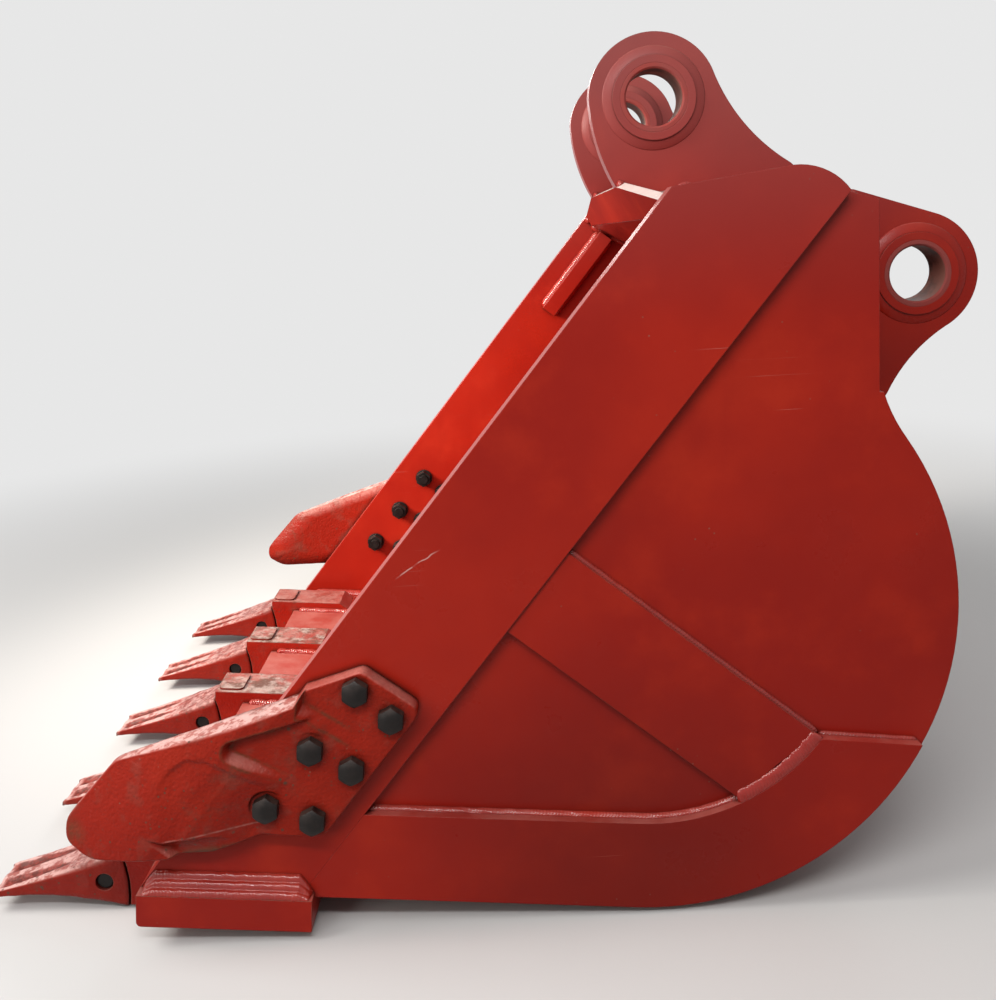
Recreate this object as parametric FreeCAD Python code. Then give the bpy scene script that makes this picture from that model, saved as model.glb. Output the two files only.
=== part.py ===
import FreeCAD, Part
import math
import os

from FreeCAD import Vector

# Rock bucket for a 35 t excavator, all lengths in millimetres.
# X points to the back of the bucket, Y across it, Z up. The teeth are at -X. Left and
# right are as the operator sees them: left is +Y. The origin is the middle of the stick
# pin. Every piece is drawn with the flat of the floor level, and is then tipped back by
# the small angle at which the bucket stands on its teeth and its heel.

# Shell
inner_width = 1225.0
side_thickness = 20.0
bar_thickness = 40.0
wrapper_thickness = 18.0
heel_centre = (-24.0, -809.0)
heel_radius = 461.0
throat_angle = 38.2
throat_top = (300.0, -458.0)
throat_bow = 3.0

# Leading side bars
bar_top_front = (-26.0, -175.0)
bar_slope = 55.07
bar_width = 204.0
bar_crown = (141.0, -140.0)
bar_crown_bow = 12.0
bar_tail_level = -172.0

# Lip and the welds that tie the bars to its ends
lip_thickness = 50.0
lip_overhang = 22.0
lip_back_step = 16.0
lip_corner = 8.0
lip_weld_height = 29.0
lip_weld_crown = 3.0
lip_weld_inset = 8.0

# Wear plates on the sides
heel_plate_thickness = 20.0
heel_plate_inset = 10.0
heel_plate_band = 136.0
heel_plate_end_angle = -23.0
strip_thickness = 15.0
strip_width = 149.0
strip_station = 508.0

# Torque tube with the roof of the bowl under it
tube_crest = (-59.0, -158.0)
tube_front_slope = 59.0
tube_front_thickness = 17.0
tube_front_depth = 64.0
tube_top_level = -178.0
tube_back = (272.0, -182.0)
tube_top_thickness = 20.0
tube_back_thickness = 18.0
tube_overlap = 6.0
roof_slope = 25.0
roof_radius = 298.0
roof_foot_rise = 28.0
roof_thickness = 16.0
gusset_length = 250.0
gusset_side = 36.0
gusset_setback = 52.0
gusset_start = 32.0

# Ears, bosses and bushes
ear_gap = 424.0
ear_thickness = 40.0
link_pin = (489.0, -294.0)
stick_ear_radius = 115.0
link_ear_radius = 112.0
ear_toe_bow = 10.0
ear_waist = (250.0, -104.0)
ear_waist_bow = 18.0
ear_saddle = (366.0, -148.0)
ear_saddle_bow = 11.0
ear_hip = (455.0, -513.0)
ear_hip_bow = 11.0
ear_foot_angle = 24.2
boss_length = 75.0
boss_outward = 10.0
boss_radius = 74.0
bush_radius = 60.0
pin_bore_radius = 50.0
bush_chamfer = 3.0
boss_weld_leg = 17.0

# Teeth: cast tips on welded adapters, each held by a pin driven in from the side
tooth_count = 5
outer_tooth_inset = 83.5
tip_behind_lip = 49.0
tip_drop = 44.0
tip_height = 98.0
tip_lean = 14.0
tip_reach = 226.0
tip_width = 96.0
tip_edge_width = 80.0
tip_edge = 11.0
tip_edge_lift = 5.0
tip_taper_start = 60.0
tip_corner = 4.0
tip_rear_bow = 6.5
tip_back_bow = 3.0
tip_belly_bow = 12.0
flute_radius = 15.0
flute_spacing = 40.0
flute_length = 130.0
flute_depth = 7.0
nose_height = 70.0
nose_width = 68.0
nose_length = 112.0
nose_slimming = 0.46
nose_narrowing = 0.88
nose_fall = 9.0
nose_clearance = 0.5
adapter_gap = 4.0
adapter_width = 94.0
upper_strap = 22.0
lower_strap = 23.0
upper_strap_length = 146.0
lower_strap_length = 86.0
strap_ramp = 26.0
strap_end = 6.0
throat_depth = 36.0
pad_height = 4.0
pad_length = 52.0
pad_margin = 10.0
pad_corner = 12.0
tooth_pin_radius = 14.0
tooth_pin_length = 88.0
tooth_pin_setback = 37.0
tooth_pin_rise = 46.0
tooth_pin_chamfer = 2.0
pin_hole_clearance = 0.4
pin_grip_clearance = 0.05
retainer_radius = 23.0
retainer_length = 7.0
retainer_slot = 4.0

# Side cutters. Their places are x and z from the foot of the bar's leading edge
cutter_flange = 30.0
cutter_body = 48.0
cutter_edge = 11.0
cutter_reach = 152.0
cutter_ramp_back = 78.0
cutter_ramp_front = 4.0
cutter_full_body = 25.0
cutter_bow = 5.0
cutter_top = (335.2, 366.0)
cutter_back = (423.3, 309.1)
cutter_heel = (282.5, 107.6)
cutter_rim_back = (192.0, 108.5)
cutter_rim_front = (118.0, 79.5)
cutter_chin = (-66.0, 64.0)
cutter_nose = (-109.8, 98.0)
cutter_cheek = (-93.8, 132.0)
cutter_brow = (-31.8, 210.0)
cutter_brow_radius = 24.0
cutter_shoulder = (239.2, 317.0)
cutter_step = (250.2, 334.0)
cutter_corner = 18.0
cutter_heel_round = 30.0
pocket_nose = (153.2, 244.0)
pocket_nose_radius = 19.0
pocket_upper_slope = 18.0
pocket_lower_slope = -24.0
pocket_length = 130.0
notch_corner = (241.2, 290.0)
notch_slope = 24.0
notch_radius = 9.0
scallop_radius = 34.0
scallop_lift = 17.0
scallop_front = (25.0, 65.3)
scallop_back = (203.0, 100.0)

# Bolts of the side cutters: distance behind the leading edge, lowest bolt's height up the
# bar from its foot, and spacing
front_bolts = (74.0, 239.7, 112.0)
rear_bolts = (140.0, 265.7, 98.0)
bolts_per_row = 3
bolt_radius = 12.0
bolt_hole_clearance = 1.0
nut_clearance = 0.1
spot_face_radius = 25.0
bolt_head_width = 36.0
bolt_head_height = 19.0
bolt_head_rim = 12.0
washer_radius = 22.0
washer_thickness = 4.0
nut_height = 19.0
bolt_end = 6.0

# Directions and levels that follow from the sizes above
ACROSS = Vector(0, 1, 0)
DOWNWARD = -90.0
bar_angle = math.radians(bar_slope)
down_bar = (-math.cos(bar_angle), -math.sin(bar_angle))
behind_bar = (math.sin(bar_angle), -math.cos(bar_angle))
side_inner = inner_width / 2
side_outer = side_inner + side_thickness
bar_outer = side_inner + bar_thickness
floor_under = heel_centre[1] - heel_radius
floor_top = floor_under + wrapper_thickness
lip_under = floor_top - lip_thickness
lip_half = bar_outer + lip_overhang
tooth_pitch = 2 * (side_inner - outer_tooth_inset) / (tooth_count - 1)
ear_inner = ear_gap / 2
ear_outer = ear_inner + ear_thickness
boss_outer = ear_outer + boss_outward
boss_inner = boss_outer - boss_length


def moved(place, direction, distance):
    """A place some distance from another, in a direction. Both are given as x and z."""
    return (place[0] + direction[0] * distance, place[1] + direction[1] * distance)


def towards(first, last):
    """The direction from one place to another."""
    length = math.hypot(last[0] - first[0], last[1] - first[1])
    return ((last[0] - first[0]) / length, (last[1] - first[1]) / length)


def right_of(direction):
    """The direction a quarter turn to the right."""
    return (direction[1], -direction[0])


def bowed(first, last, height):
    """The middle of an arc that stands a height to the left of the line between two places."""
    middle = ((first[0] + last[0]) / 2, (first[1] + last[1]) / 2)
    return moved(middle, right_of(towards(first, last)), -height)


def on_circle(centre, radius, degrees):
    """A place on a circle, counted from +X towards +Z."""
    angle = math.radians(degrees)
    return moved(centre, (math.cos(angle), math.sin(angle)), radius)


def at_level(place, direction, level):
    """Where a line reaches a level."""
    return moved(place, direction, (level - place[1]) / direction[1])


def crossing(place, direction, other, other_direction):
    """Where two lines cross."""
    away = (other[0] - place[0], other[1] - place[1])
    turn = direction[0] * other_direction[1] - direction[1] * other_direction[0]
    distance = (away[0] * other_direction[1] - away[1] * other_direction[0]) / turn
    return moved(place, direction, distance)


def meets_circle(place, direction, centre, radius, side):
    """Where a line meets a circle, at its first crossing for side -1 and its last for 1."""
    away = (centre[0] - place[0], centre[1] - place[1])
    abreast = away[0] * direction[0] + away[1] * direction[1]
    half_chord = math.sqrt(radius ** 2 + abreast ** 2 - away[0] ** 2 - away[1] ** 2)
    return moved(place, direction, abreast + side * half_chord)


def section(*steps):
    """A face seen from the side. Each step is a place, or a pair: an arc's middle and its end."""
    edges = []
    here = steps[0]
    for step in steps[1:] + steps[:1]:
        if step == here:
            continue
        start = Vector(here[0], 0, here[1])
        if isinstance(step[0], tuple):
            middle, here = step
            end = Vector(here[0], 0, here[1])
            edges.append(Part.Arc(start, Vector(middle[0], 0, middle[1]), end).toShape())
        else:
            here = step
            end = Vector(here[0], 0, here[1])
            edges.append(Part.LineSegment(start, end).toShape())
    return Part.Face(Part.Wire(edges))


def plate(face, near, far):
    """A side view made into a plate between two distances across the bucket."""
    placed = face.translated(ACROSS * near)
    return placed.extrude(ACROSS * (far - near))


def rod(place, radius, near, far):
    """A round bar across the bucket."""
    return Part.makeCylinder(radius, far - near, Vector(place[0], near, place[1]), ACROSS)


def tube(place, radius, bore, near, far):
    """A round tube across the bucket."""
    return rod(place, radius, near, far).cut(rod(place, bore, near, far))


def cone(place, near_radius, far_radius, near, far):
    """A cut cone across the bucket."""
    base = Vector(place[0], near, place[1])
    return Part.makeCone(near_radius, far_radius, far - near, base, ACROSS)


def hexagon(place, width, near, far):
    """A six-sided bar across the bucket, measured across its flats."""
    corners = [on_circle(place, width / math.sqrt(3), 60 * turn + 30) for turn in range(6)]
    return plate(section(*corners), near, far)


def rounded(solid, radius, chosen):
    """The solid with the edges whose middles are chosen rounded off."""
    return solid.makeFillet(radius, [edge for edge in solid.Edges if chosen(edge.CenterOfMass)])


# Places on the side view that several pieces share
bar_back = moved(bar_top_front, behind_bar, bar_width)
bar_foot = at_level(bar_top_front, down_bar, floor_top)
bar_foot_back = at_level(bar_back, down_bar, floor_top)
bar_tail = at_level(bar_back, down_bar, bar_tail_level)
lip_front = bar_foot[0]
lip_back = bar_foot_back[0] + lip_back_step
front_angle = math.radians(tube_front_slope)
down_front = (math.cos(front_angle), -math.sin(front_angle))
into_front = (math.sin(front_angle), math.cos(front_angle))
tube_crest_back = moved(tube_crest, into_front, tube_front_thickness)
tube_front = at_level(tube_crest_back, down_front, tube_top_level)
roof_angle = math.radians(roof_slope)
down_roof = (math.cos(roof_angle), -math.sin(roof_angle))
below_roof = right_of(down_roof)
roof_front = moved(tube_crest_back, down_front, tube_front_depth)
roof_front_low = crossing(moved(roof_front, below_roof, roof_thickness), down_roof, tube_crest, down_front)
down_tube = towards(tube_back, (throat_top[0] - tube_overlap, throat_top[1]))
into_tube = right_of(down_tube)
tube_foot = at_level(tube_back, down_tube, throat_top[1])
throat_end = on_circle(heel_centre, heel_radius, throat_angle)
throat_middle = bowed(throat_top, throat_end, -throat_bow)
heel_middle = on_circle(heel_centre, heel_radius, (throat_angle + DOWNWARD) / 2)
heel_under = (heel_centre[0], floor_under)
tip_heel = (lip_front - tip_behind_lip, lip_under - tip_drop)
tip_crest = (tip_heel[0] - tip_lean, tip_heel[1] + tip_height)
tooth_pin_place = (tip_heel[0] - tooth_pin_setback, tip_heel[1] + tooth_pin_rise)


def standing_angle():
    """The angle that brings the heel of a tooth and the round of the heel to one level."""
    ahead = tip_heel[0] - heel_centre[0]
    below = tip_heel[1] - heel_centre[1]
    return math.degrees(math.acos(heel_radius / math.hypot(ahead, below)) - math.atan2(-ahead, -below))


def bolt_places():
    """The side cutter's bolts, in two rows along the bar."""
    places = []
    for setback, lowest, spacing in (front_bolts, rear_bolts):
        row = moved(bar_foot, behind_bar, setback)
        places += [moved(row, down_bar, -lowest - spacing * turn) for turn in range(bolts_per_row)]
    return places


# Shell pieces

def side_plate():
    """The side sheet behind the bar, cut to the outside of the wrapper."""
    face = section(
        bar_tail,
        tube_back,
        tube_foot,
        throat_top,
        (throat_middle, throat_end),
        (heel_middle, heel_under),
        (lip_back, floor_under),
        (lip_back, floor_top),
        bar_foot_back,
    )
    return plate(face, side_inner, side_outer)


def side_bar():
    """The thick leading bar, standing on the lip, with a crowned head and the bolt holes."""
    crown = (bowed(bar_crown, bar_tail, bar_crown_bow), bar_tail)
    bar = plate(section(bar_foot, bar_top_front, bar_crown, crown, bar_foot_back), side_inner, bar_outer)
    for place in bolt_places():
        bar = bar.cut(rod(place, bolt_radius + bolt_hole_clearance, side_inner - 1, bar_outer + 1))
    return bar


def heel_band():
    """The heel plate's edges: the corner where the strip ends, and the outer and inner rounds."""
    outer = heel_radius - heel_plate_inset
    inner = outer - heel_plate_band
    strip_top = moved(bar_back, down_bar, strip_station)
    corner = meets_circle(strip_top, behind_bar, heel_centre, inner, 1)
    return corner, outer, inner


def heel_side_plate():
    """The wear plate along the lower edge and round the heel, on the outside of the side."""
    corner, outer, inner = heel_band()
    corner_angle = math.degrees(math.atan2(corner[1] - heel_centre[1], corner[0] - heel_centre[0]))
    inner_bottom = on_circle(heel_centre, inner, DOWNWARD)
    lowest = on_circle(heel_centre, outer, DOWNWARD)
    face = section(
        at_level(bar_back, down_bar, inner_bottom[1]),
        inner_bottom,
        (on_circle(heel_centre, inner, (corner_angle + DOWNWARD) / 2), corner),
        on_circle(heel_centre, outer, heel_plate_end_angle),
        (on_circle(heel_centre, outer, (heel_plate_end_angle + DOWNWARD) / 2), lowest),
        (lip_back, heel_centre[1] - outer),
        (lip_back, floor_top),
        bar_foot_back,
    )
    return plate(face, side_outer, side_outer + heel_plate_thickness)


def side_strip():
    """The diagonal wear strip, square to the bar and coped to the heel plate's round edge."""
    corner, outer, inner = heel_band()
    top = moved(bar_back, down_bar, strip_station)
    bottom = moved(top, down_bar, strip_width)
    low_end = meets_circle(bottom, behind_bar, heel_centre, inner, 1)
    coped = (bowed(corner, low_end, bow_of_chord(corner, low_end, inner)), low_end)
    return plate(section(top, corner, coped, bottom), side_outer, side_outer + strip_thickness)


def bow_of_chord(first, last, radius):
    """The height of a circle's arc over its chord."""
    half = math.hypot(last[0] - first[0], last[1] - first[1]) / 2
    return -(radius - math.sqrt(radius ** 2 - half ** 2))


def wrapper():
    """The rolled floor and back of the bowl, from the lip to the torque tube."""
    inside = heel_radius - wrapper_thickness
    inner_top = moved(throat_top, into_tube, wrapper_thickness)
    inner_throat = on_circle(heel_centre, inside, throat_angle)
    face = section(
        throat_top,
        (throat_middle, throat_end),
        (heel_middle, heel_under),
        (lip_back, floor_under),
        (lip_back, floor_top),
        (heel_centre[0], floor_top),
        (on_circle(heel_centre, inside, (throat_angle + DOWNWARD) / 2), inner_throat),
        (bowed(inner_throat, inner_top, throat_bow), inner_top),
    )
    return plate(face, -side_inner, side_inner)


def lip():
    """The cutting edge plate, wider than the bowl, with its front corners eased."""
    face = section(
        (lip_back, lip_under),
        (lip_back, floor_top),
        (lip_front, floor_top),
        (lip_front, lip_under),
    )
    blade = plate(face, -lip_half, lip_half)
    return rounded(blade, lip_corner, lambda middle: middle.x < lip_front + 1 and middle.z < lip_under + 1)


def lip_weld():
    """The heavy fillet weld between the bar's outer face and the lip's protruding end."""
    inner_low = Vector(lip_front + lip_weld_inset, bar_outer, floor_top)
    outer_low = Vector(lip_front + lip_weld_inset, lip_half, floor_top)
    top = Vector(lip_front + lip_weld_inset, bar_outer, floor_top + lip_weld_height)
    rise = Vector(0, lip_weld_height, lip_overhang).normalize() * lip_weld_crown
    edges = [
        Part.LineSegment(inner_low, outer_low).toShape(),
        Part.Arc(outer_low, (outer_low + top) * 0.5 + rise, top).toShape(),
        Part.LineSegment(top, inner_low).toShape(),
    ]
    length = lip_back - lip_front - lip_weld_inset
    return Part.Face(Part.Wire(edges)).extrude(Vector(length, 0, 0))


# Torque tube

def tube_front_plate():
    """The sloped front of the torque tube. Its top edge falls from the ears to the bars' front."""
    front = plate(section(tube_crest, tube_crest_back, roof_front, roof_front_low), -side_inner, side_inner)
    at_bar = crossing(tube_crest, down_front, bar_top_front, down_bar)
    fall = (at_bar[0] - tube_crest[0]) * down_front[0] + (at_bar[1] - tube_crest[1]) * down_front[1]
    start = moved(tube_crest, into_front, -1)
    low, high = moved(start, down_front, fall), moved(start, down_front, -fall)
    through = Vector(into_front[0], 0, into_front[1]) * (tube_front_thickness + 2)
    for side in (-1, 1):
        corner = Part.makePolygon([
            Vector(start[0], side * ear_outer, start[1]),
            Vector(low[0], side * side_inner, low[1]),
            Vector(high[0], side * side_inner, high[1]),
            Vector(start[0], side * ear_outer, start[1]),
        ])
        front = front.cut(Part.Face(corner).extrude(through))
    return front


def tube_top_plate():
    """The flat top of the torque tube, from its sloped front to its back."""
    along = towards(tube_front, tube_back)
    back_low = moved(tube_back, right_of(along), tube_top_thickness)
    face = section(tube_front, tube_back, back_low, crossing(back_low, along, tube_crest_back, down_front))
    return plate(face, -side_inner, side_inner)


def tube_back_plate():
    """The rear wall of the torque tube, from the top plate down to the wrapper."""
    along = towards(tube_front, tube_back)
    soffit = moved(tube_front, right_of(along), tube_top_thickness)
    inner_line = moved(tube_back, into_tube, tube_back_thickness)
    face = section(
        crossing(tube_back, down_tube, soffit, along),
        tube_foot,
        moved(tube_foot, into_tube, tube_back_thickness),
        crossing(inner_line, down_tube, soffit, along),
    )
    return plate(face, -side_inner, side_inner)


def bowl_roof():
    """The bent plate that closes the torque tube from inside the bowl."""
    wall = moved(tube_back, into_tube, tube_back_thickness)
    end = at_level(wall, down_tube, throat_top[1] + roof_foot_rise)
    centre = meets_circle(moved(roof_front, below_roof, roof_radius), down_roof, end, roof_radius, -1)
    bend = moved(centre, below_roof, -roof_radius)
    end_angle = math.degrees(math.atan2(end[1] - centre[1], end[0] - centre[0]))
    middle_angle = (90 - roof_slope + end_angle) / 2
    inside = roof_radius - roof_thickness
    face = section(
        roof_front,
        bend,
        (on_circle(centre, roof_radius, middle_angle), end),
        on_circle(centre, inside, end_angle),
        (on_circle(centre, inside, middle_angle), moved(bend, below_roof, roof_thickness)),
        roof_front_low,
    )
    return plate(face, -side_inner, side_inner)


def corner_gusset():
    """The square bar on the inner face of the side bar, just under the torque tube."""
    start = moved(moved(bar_top_front, behind_bar, gusset_setback), down_bar, gusset_start)
    end = moved(start, down_bar, gusset_length)
    face = section(start, moved(start, behind_bar, gusset_side), moved(end, behind_bar, gusset_side), end)
    return plate(face, side_inner - gusset_side, side_inner)


# Ears

def ear_plate():
    """One ear, standing on the torque tube and running down the wrapper's back."""
    pin = (0.0, 0.0)
    waist_start = on_circle(pin, stick_ear_radius, 29)
    toe_start = on_circle(pin, stick_ear_radius, 180)
    saddle_end = on_circle(link_pin, link_ear_radius, 77)
    hip_start = on_circle(link_pin, link_ear_radius, -57)
    foot = on_circle(heel_centre, heel_radius, ear_foot_angle)
    face = section(
        tube_front,
        tube_crest_back,
        tube_crest,
        (bowed(tube_crest, toe_start, ear_toe_bow), toe_start),
        (on_circle(pin, stick_ear_radius, 105), waist_start),
        (bowed(waist_start, ear_waist, -ear_waist_bow), ear_waist),
        (bowed(ear_waist, ear_saddle, -ear_saddle_bow), ear_saddle),
        saddle_end,
        (on_circle(link_pin, link_ear_radius, 10), hip_start),
        (bowed(hip_start, ear_hip, -ear_hip_bow), ear_hip),
        foot,
        (on_circle(heel_centre, heel_radius, (ear_foot_angle + throat_angle) / 2), throat_end),
        (throat_middle, throat_top),
        tube_foot,
        tube_back,
    )
    ear = plate(face, ear_inner, ear_outer)
    for place in (pin, link_pin):
        ear = ear.cut(rod(place, boss_radius, ear_inner - 1, ear_outer + 1))
    return ear


def boss(place):
    """The steel boss let into the ear, bored for its bush."""
    return tube(place, boss_radius, bush_radius, boss_inner, boss_outer)


def bush(place):
    """The hardened bush that the excavator's pin runs in, with both mouths eased."""
    mouth = pin_bore_radius + bush_chamfer
    sleeve = tube(place, bush_radius, pin_bore_radius, boss_inner, boss_outer)
    sleeve = sleeve.cut(cone(place, mouth, pin_bore_radius, boss_inner, boss_inner + bush_chamfer))
    return sleeve.cut(cone(place, pin_bore_radius, mouth, boss_outer - bush_chamfer, boss_outer))


def boss_weld(place):
    """The two fillet welds round a boss, one on each face of the ear."""
    foot = boss_radius + boss_weld_leg
    inward = ear_inner - boss_inner
    outside = cone(place, foot, boss_radius + 1, ear_outer, boss_outer)
    inside = cone(place, boss_radius + 1, foot, ear_inner - min(inward, boss_weld_leg), ear_inner)
    core = rod(place, boss_radius, boss_inner, boss_outer)
    return [outside.cut(core), inside.cut(core)]


# Teeth

def nose_frame(station, clearance):
    """The nose's cross-section at a station ahead of the adapter's shoulder."""
    share = station / nose_length
    half_height = nose_height / 2 * (1 - (1 - nose_slimming) * share) + clearance
    half_width = nose_width / 2 * (1 - (1 - nose_narrowing) * share) + clearance
    x = tip_heel[0] + adapter_gap - station
    z = tip_heel[1] + tip_height / 2 - nose_fall * share
    corners = [
        Vector(x, -half_width, z - half_height),
        Vector(x, half_width, z - half_height),
        Vector(x, half_width, z + half_height),
        Vector(x, -half_width, z + half_height),
    ]
    return Part.makePolygon(corners + corners[:1])


def nose(start, end, clearance):
    """The tapered nose that a tip seats on, between two stations."""
    return Part.makeLoft([nose_frame(start, clearance), nose_frame(end, clearance)], True, True)


def tooth_tip():
    """A cast tip: bowed rear edge, hollow belly, two flutes on its back, a socket and a pin hole."""
    edge_low = (tip_heel[0] - tip_reach + tip_edge / 2, tip_heel[1] + tip_edge_lift)
    edge_high = (edge_low[0], edge_low[1] + tip_edge)
    side = section(
        tip_heel,
        (bowed(tip_heel, tip_crest, -tip_rear_bow), tip_crest),
        (bowed(tip_crest, edge_high, -tip_back_bow), edge_high),
        (bowed(edge_high, edge_low, -tip_edge / 2), edge_low),
        (bowed(edge_low, tip_heel, tip_belly_bow), tip_heel),
    )
    tip = plate(side, -tip_width / 2, tip_width / 2)
    behind = tip_heel[0] + tip_width
    plan = Part.makePolygon([
        Vector(behind, tip_width / 2, tip_heel[1] - tip_height),
        Vector(tip_heel[0] - tip_taper_start, tip_width / 2, tip_heel[1] - tip_height),
        Vector(tip_heel[0] - tip_reach, tip_edge_width / 2, tip_heel[1] - tip_height),
        Vector(tip_heel[0] - tip_reach, -tip_edge_width / 2, tip_heel[1] - tip_height),
        Vector(tip_heel[0] - tip_taper_start, -tip_width / 2, tip_heel[1] - tip_height),
        Vector(behind, -tip_width / 2, tip_heel[1] - tip_height),
        Vector(behind, tip_width / 2, tip_heel[1] - tip_height),
    ])
    tip = tip.common(Part.Face(plan).extrude(Vector(0, 0, 3 * tip_height)))
    tip = rounded(tip, tip_corner, lambda middle: on_tip_back(middle, edge_high))
    for across in (-flute_spacing / 2, flute_spacing / 2):
        tip = tip.cut(flute(edge_high, across))
    tip = tip.cut(nose(-tip_lean, nose_length + nose_clearance, nose_clearance))
    hole = tooth_pin_radius + pin_hole_clearance
    return tip.cut(rod(tooth_pin_place, hole, -tip_width, tip_width))


def on_tip_back(middle, edge_high):
    """Whether an edge is one of the two long upper edges of the tip."""
    back = towards(edge_high, tip_crest)
    level = edge_high[1] + (middle.x - edge_high[0]) * back[1] / back[0]
    inside = edge_high[0] + tip_edge < middle.x < tip_crest[0] - tip_edge
    return inside and middle.z > level - tip_edge / 2 and abs(middle.y) > flute_spacing


def flute(edge_high, across):
    """The round cutter of one flute, deepest at the tip's edge and running out up its back."""
    back = towards(edge_high, tip_crest)
    above = right_of(towards(tip_crest, edge_high))
    start = moved(edge_high, above, flute_radius - flute_depth)
    end = moved(moved(edge_high, back, flute_length), above, flute_radius + tip_back_bow)
    course = towards(start, end)
    base = moved(start, course, -2 * tip_edge)
    direction = Vector(course[0], 0, course[1])
    return Part.makeCylinder(flute_radius, 2 * flute_length, Vector(base[0], across, base[1]), direction)


def nose_side():
    """The nose's half width at the pin, where the retainer's recess starts."""
    share = (tooth_pin_setback + adapter_gap) / nose_length
    return nose_width / 2 * (1 - (1 - nose_narrowing) * share)


def adapter():
    """The welded adapter: two straps over the lip, a shoulder, a raised pad and the nose."""
    ahead = tip_heel[0] - nose_height
    top = floor_top + upper_strap
    upper_end = lip_front + upper_strap_length
    lower_end = lip_front + lower_strap_length
    low = lip_under - lower_strap
    side = section(
        (ahead, top),
        (upper_end - strap_ramp, top),
        (upper_end, floor_top + strap_end),
        (upper_end, floor_top),
        (lip_front, floor_top),
        (lip_front, lip_under),
        (lower_end, lip_under),
        (lower_end, lip_under - strap_end),
        (lower_end - strap_ramp, low),
        (lip_front + strap_ramp / 2, low),
        (lip_front - strap_ramp / 2, lip_under - throat_depth),
        (ahead, lip_under - throat_depth),
    )
    body = plate(side, -adapter_width / 2, adapter_width / 2)
    heel = moved(tip_heel, (1, 0), adapter_gap)
    crest = moved(tip_crest, (1, 0), adapter_gap)
    beyond = ahead - nose_height
    room = section(
        heel,
        (bowed(heel, crest, -tip_rear_bow), crest),
        (crest[0], top + pad_height + 1),
        (beyond, top + pad_height + 1),
        (beyond, heel[1] - 1),
        (heel[0], heel[1] - 1),
    )
    body = body.cut(plate(room, -adapter_width, adapter_width))
    pad_width = adapter_width - 2 * pad_margin
    pad_start = Vector(crest[0] + adapter_gap, -pad_width / 2, top - 1)
    pad = Part.makeBox(pad_length, pad_width, pad_height + 1, pad_start)
    pad = pad.makeFillet(pad_corner, [edge for edge in pad.Edges if edge.tangentAt(0).z ** 2 > 0.5])
    body = body.fuse([pad, nose(-2 * adapter_gap, nose_length, 0)]).removeSplitter()
    hole = tooth_pin_radius + pin_hole_clearance
    body = body.cut(rod(tooth_pin_place, hole, -adapter_width, adapter_width))
    return body.cut(rod(tooth_pin_place, retainer_radius, -adapter_width, retainer_length - nose_side()))


def retainer():
    """The split spring ring in the nose's side recess that grips the pin."""
    bore = tooth_pin_radius + pin_grip_clearance
    band = tube(tooth_pin_place, retainer_radius, bore, -nose_side() + 0.5, retainer_length - nose_side())
    slot = Part.makeBox(
        retainer_radius + 1, nose_width, retainer_slot,
        Vector(tooth_pin_place[0], -nose_width, tooth_pin_place[1] - retainer_slot / 2),
    )
    return band.cut(slot)


def tooth_pin():
    """The plain round pin with eased ends, a little shorter than the tip is wide."""
    pin = rod(tooth_pin_place, tooth_pin_radius, -tooth_pin_length / 2, tooth_pin_length / 2)
    ends = [edge for edge in pin.Edges if abs(edge.CenterOfMass.y) > tooth_pin_length / 2 - 1]
    return pin.makeChamfer(tooth_pin_chamfer, ends)


# Side cutters

def off_foot(offset):
    """A place of the cutter's side view, from its offset to the foot of the leading edge."""
    return (bar_foot[0] + offset[0], bar_foot[1] + offset[1])


def height_up_bar(offset):
    """How far up the bar an offset from its foot lies."""
    return -offset[0] * down_bar[0] - offset[1] * down_bar[1]


def beside_bar(setback, height, y):
    """A point by its distance behind the bar's leading edge and its height up the bar."""
    place = moved(moved(bar_foot, behind_bar, setback), down_bar, -height)
    return Vector(place[0], y, place[1])


def cutter_thickness():
    """The cutter's section square to the bar: flange, ramp, full body, then bowed to the edge."""
    high = height_up_bar(cutter_top) + bar_width
    low = height_up_bar(cutter_nose) - bar_width
    full = beside_bar(-cutter_full_body, high, bar_outer + cutter_body)
    edge = beside_bar(-cutter_reach, high, bar_outer + cutter_edge)
    middle = (full + edge) * 0.5 + Vector(0, cutter_bow, 0)
    inner_edge = beside_bar(-cutter_reach, high, bar_outer)
    back = [
        inner_edge,
        beside_bar(bar_width, high, bar_outer),
        beside_bar(bar_width, high, bar_outer + cutter_flange),
        beside_bar(cutter_ramp_back, high, bar_outer + cutter_flange),
        beside_bar(cutter_ramp_front, high, bar_outer + cutter_body),
        full,
    ]
    edges = [Part.LineSegment(start, end).toShape() for start, end in zip(back, back[1:])]
    edges += [Part.Arc(full, middle, edge).toShape(), Part.LineSegment(edge, inner_edge).toShape()]
    length = high - low
    return Part.Face(Part.Wire(edges)).extrude(Vector(down_bar[0] * length, 0, down_bar[1] * length))


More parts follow.
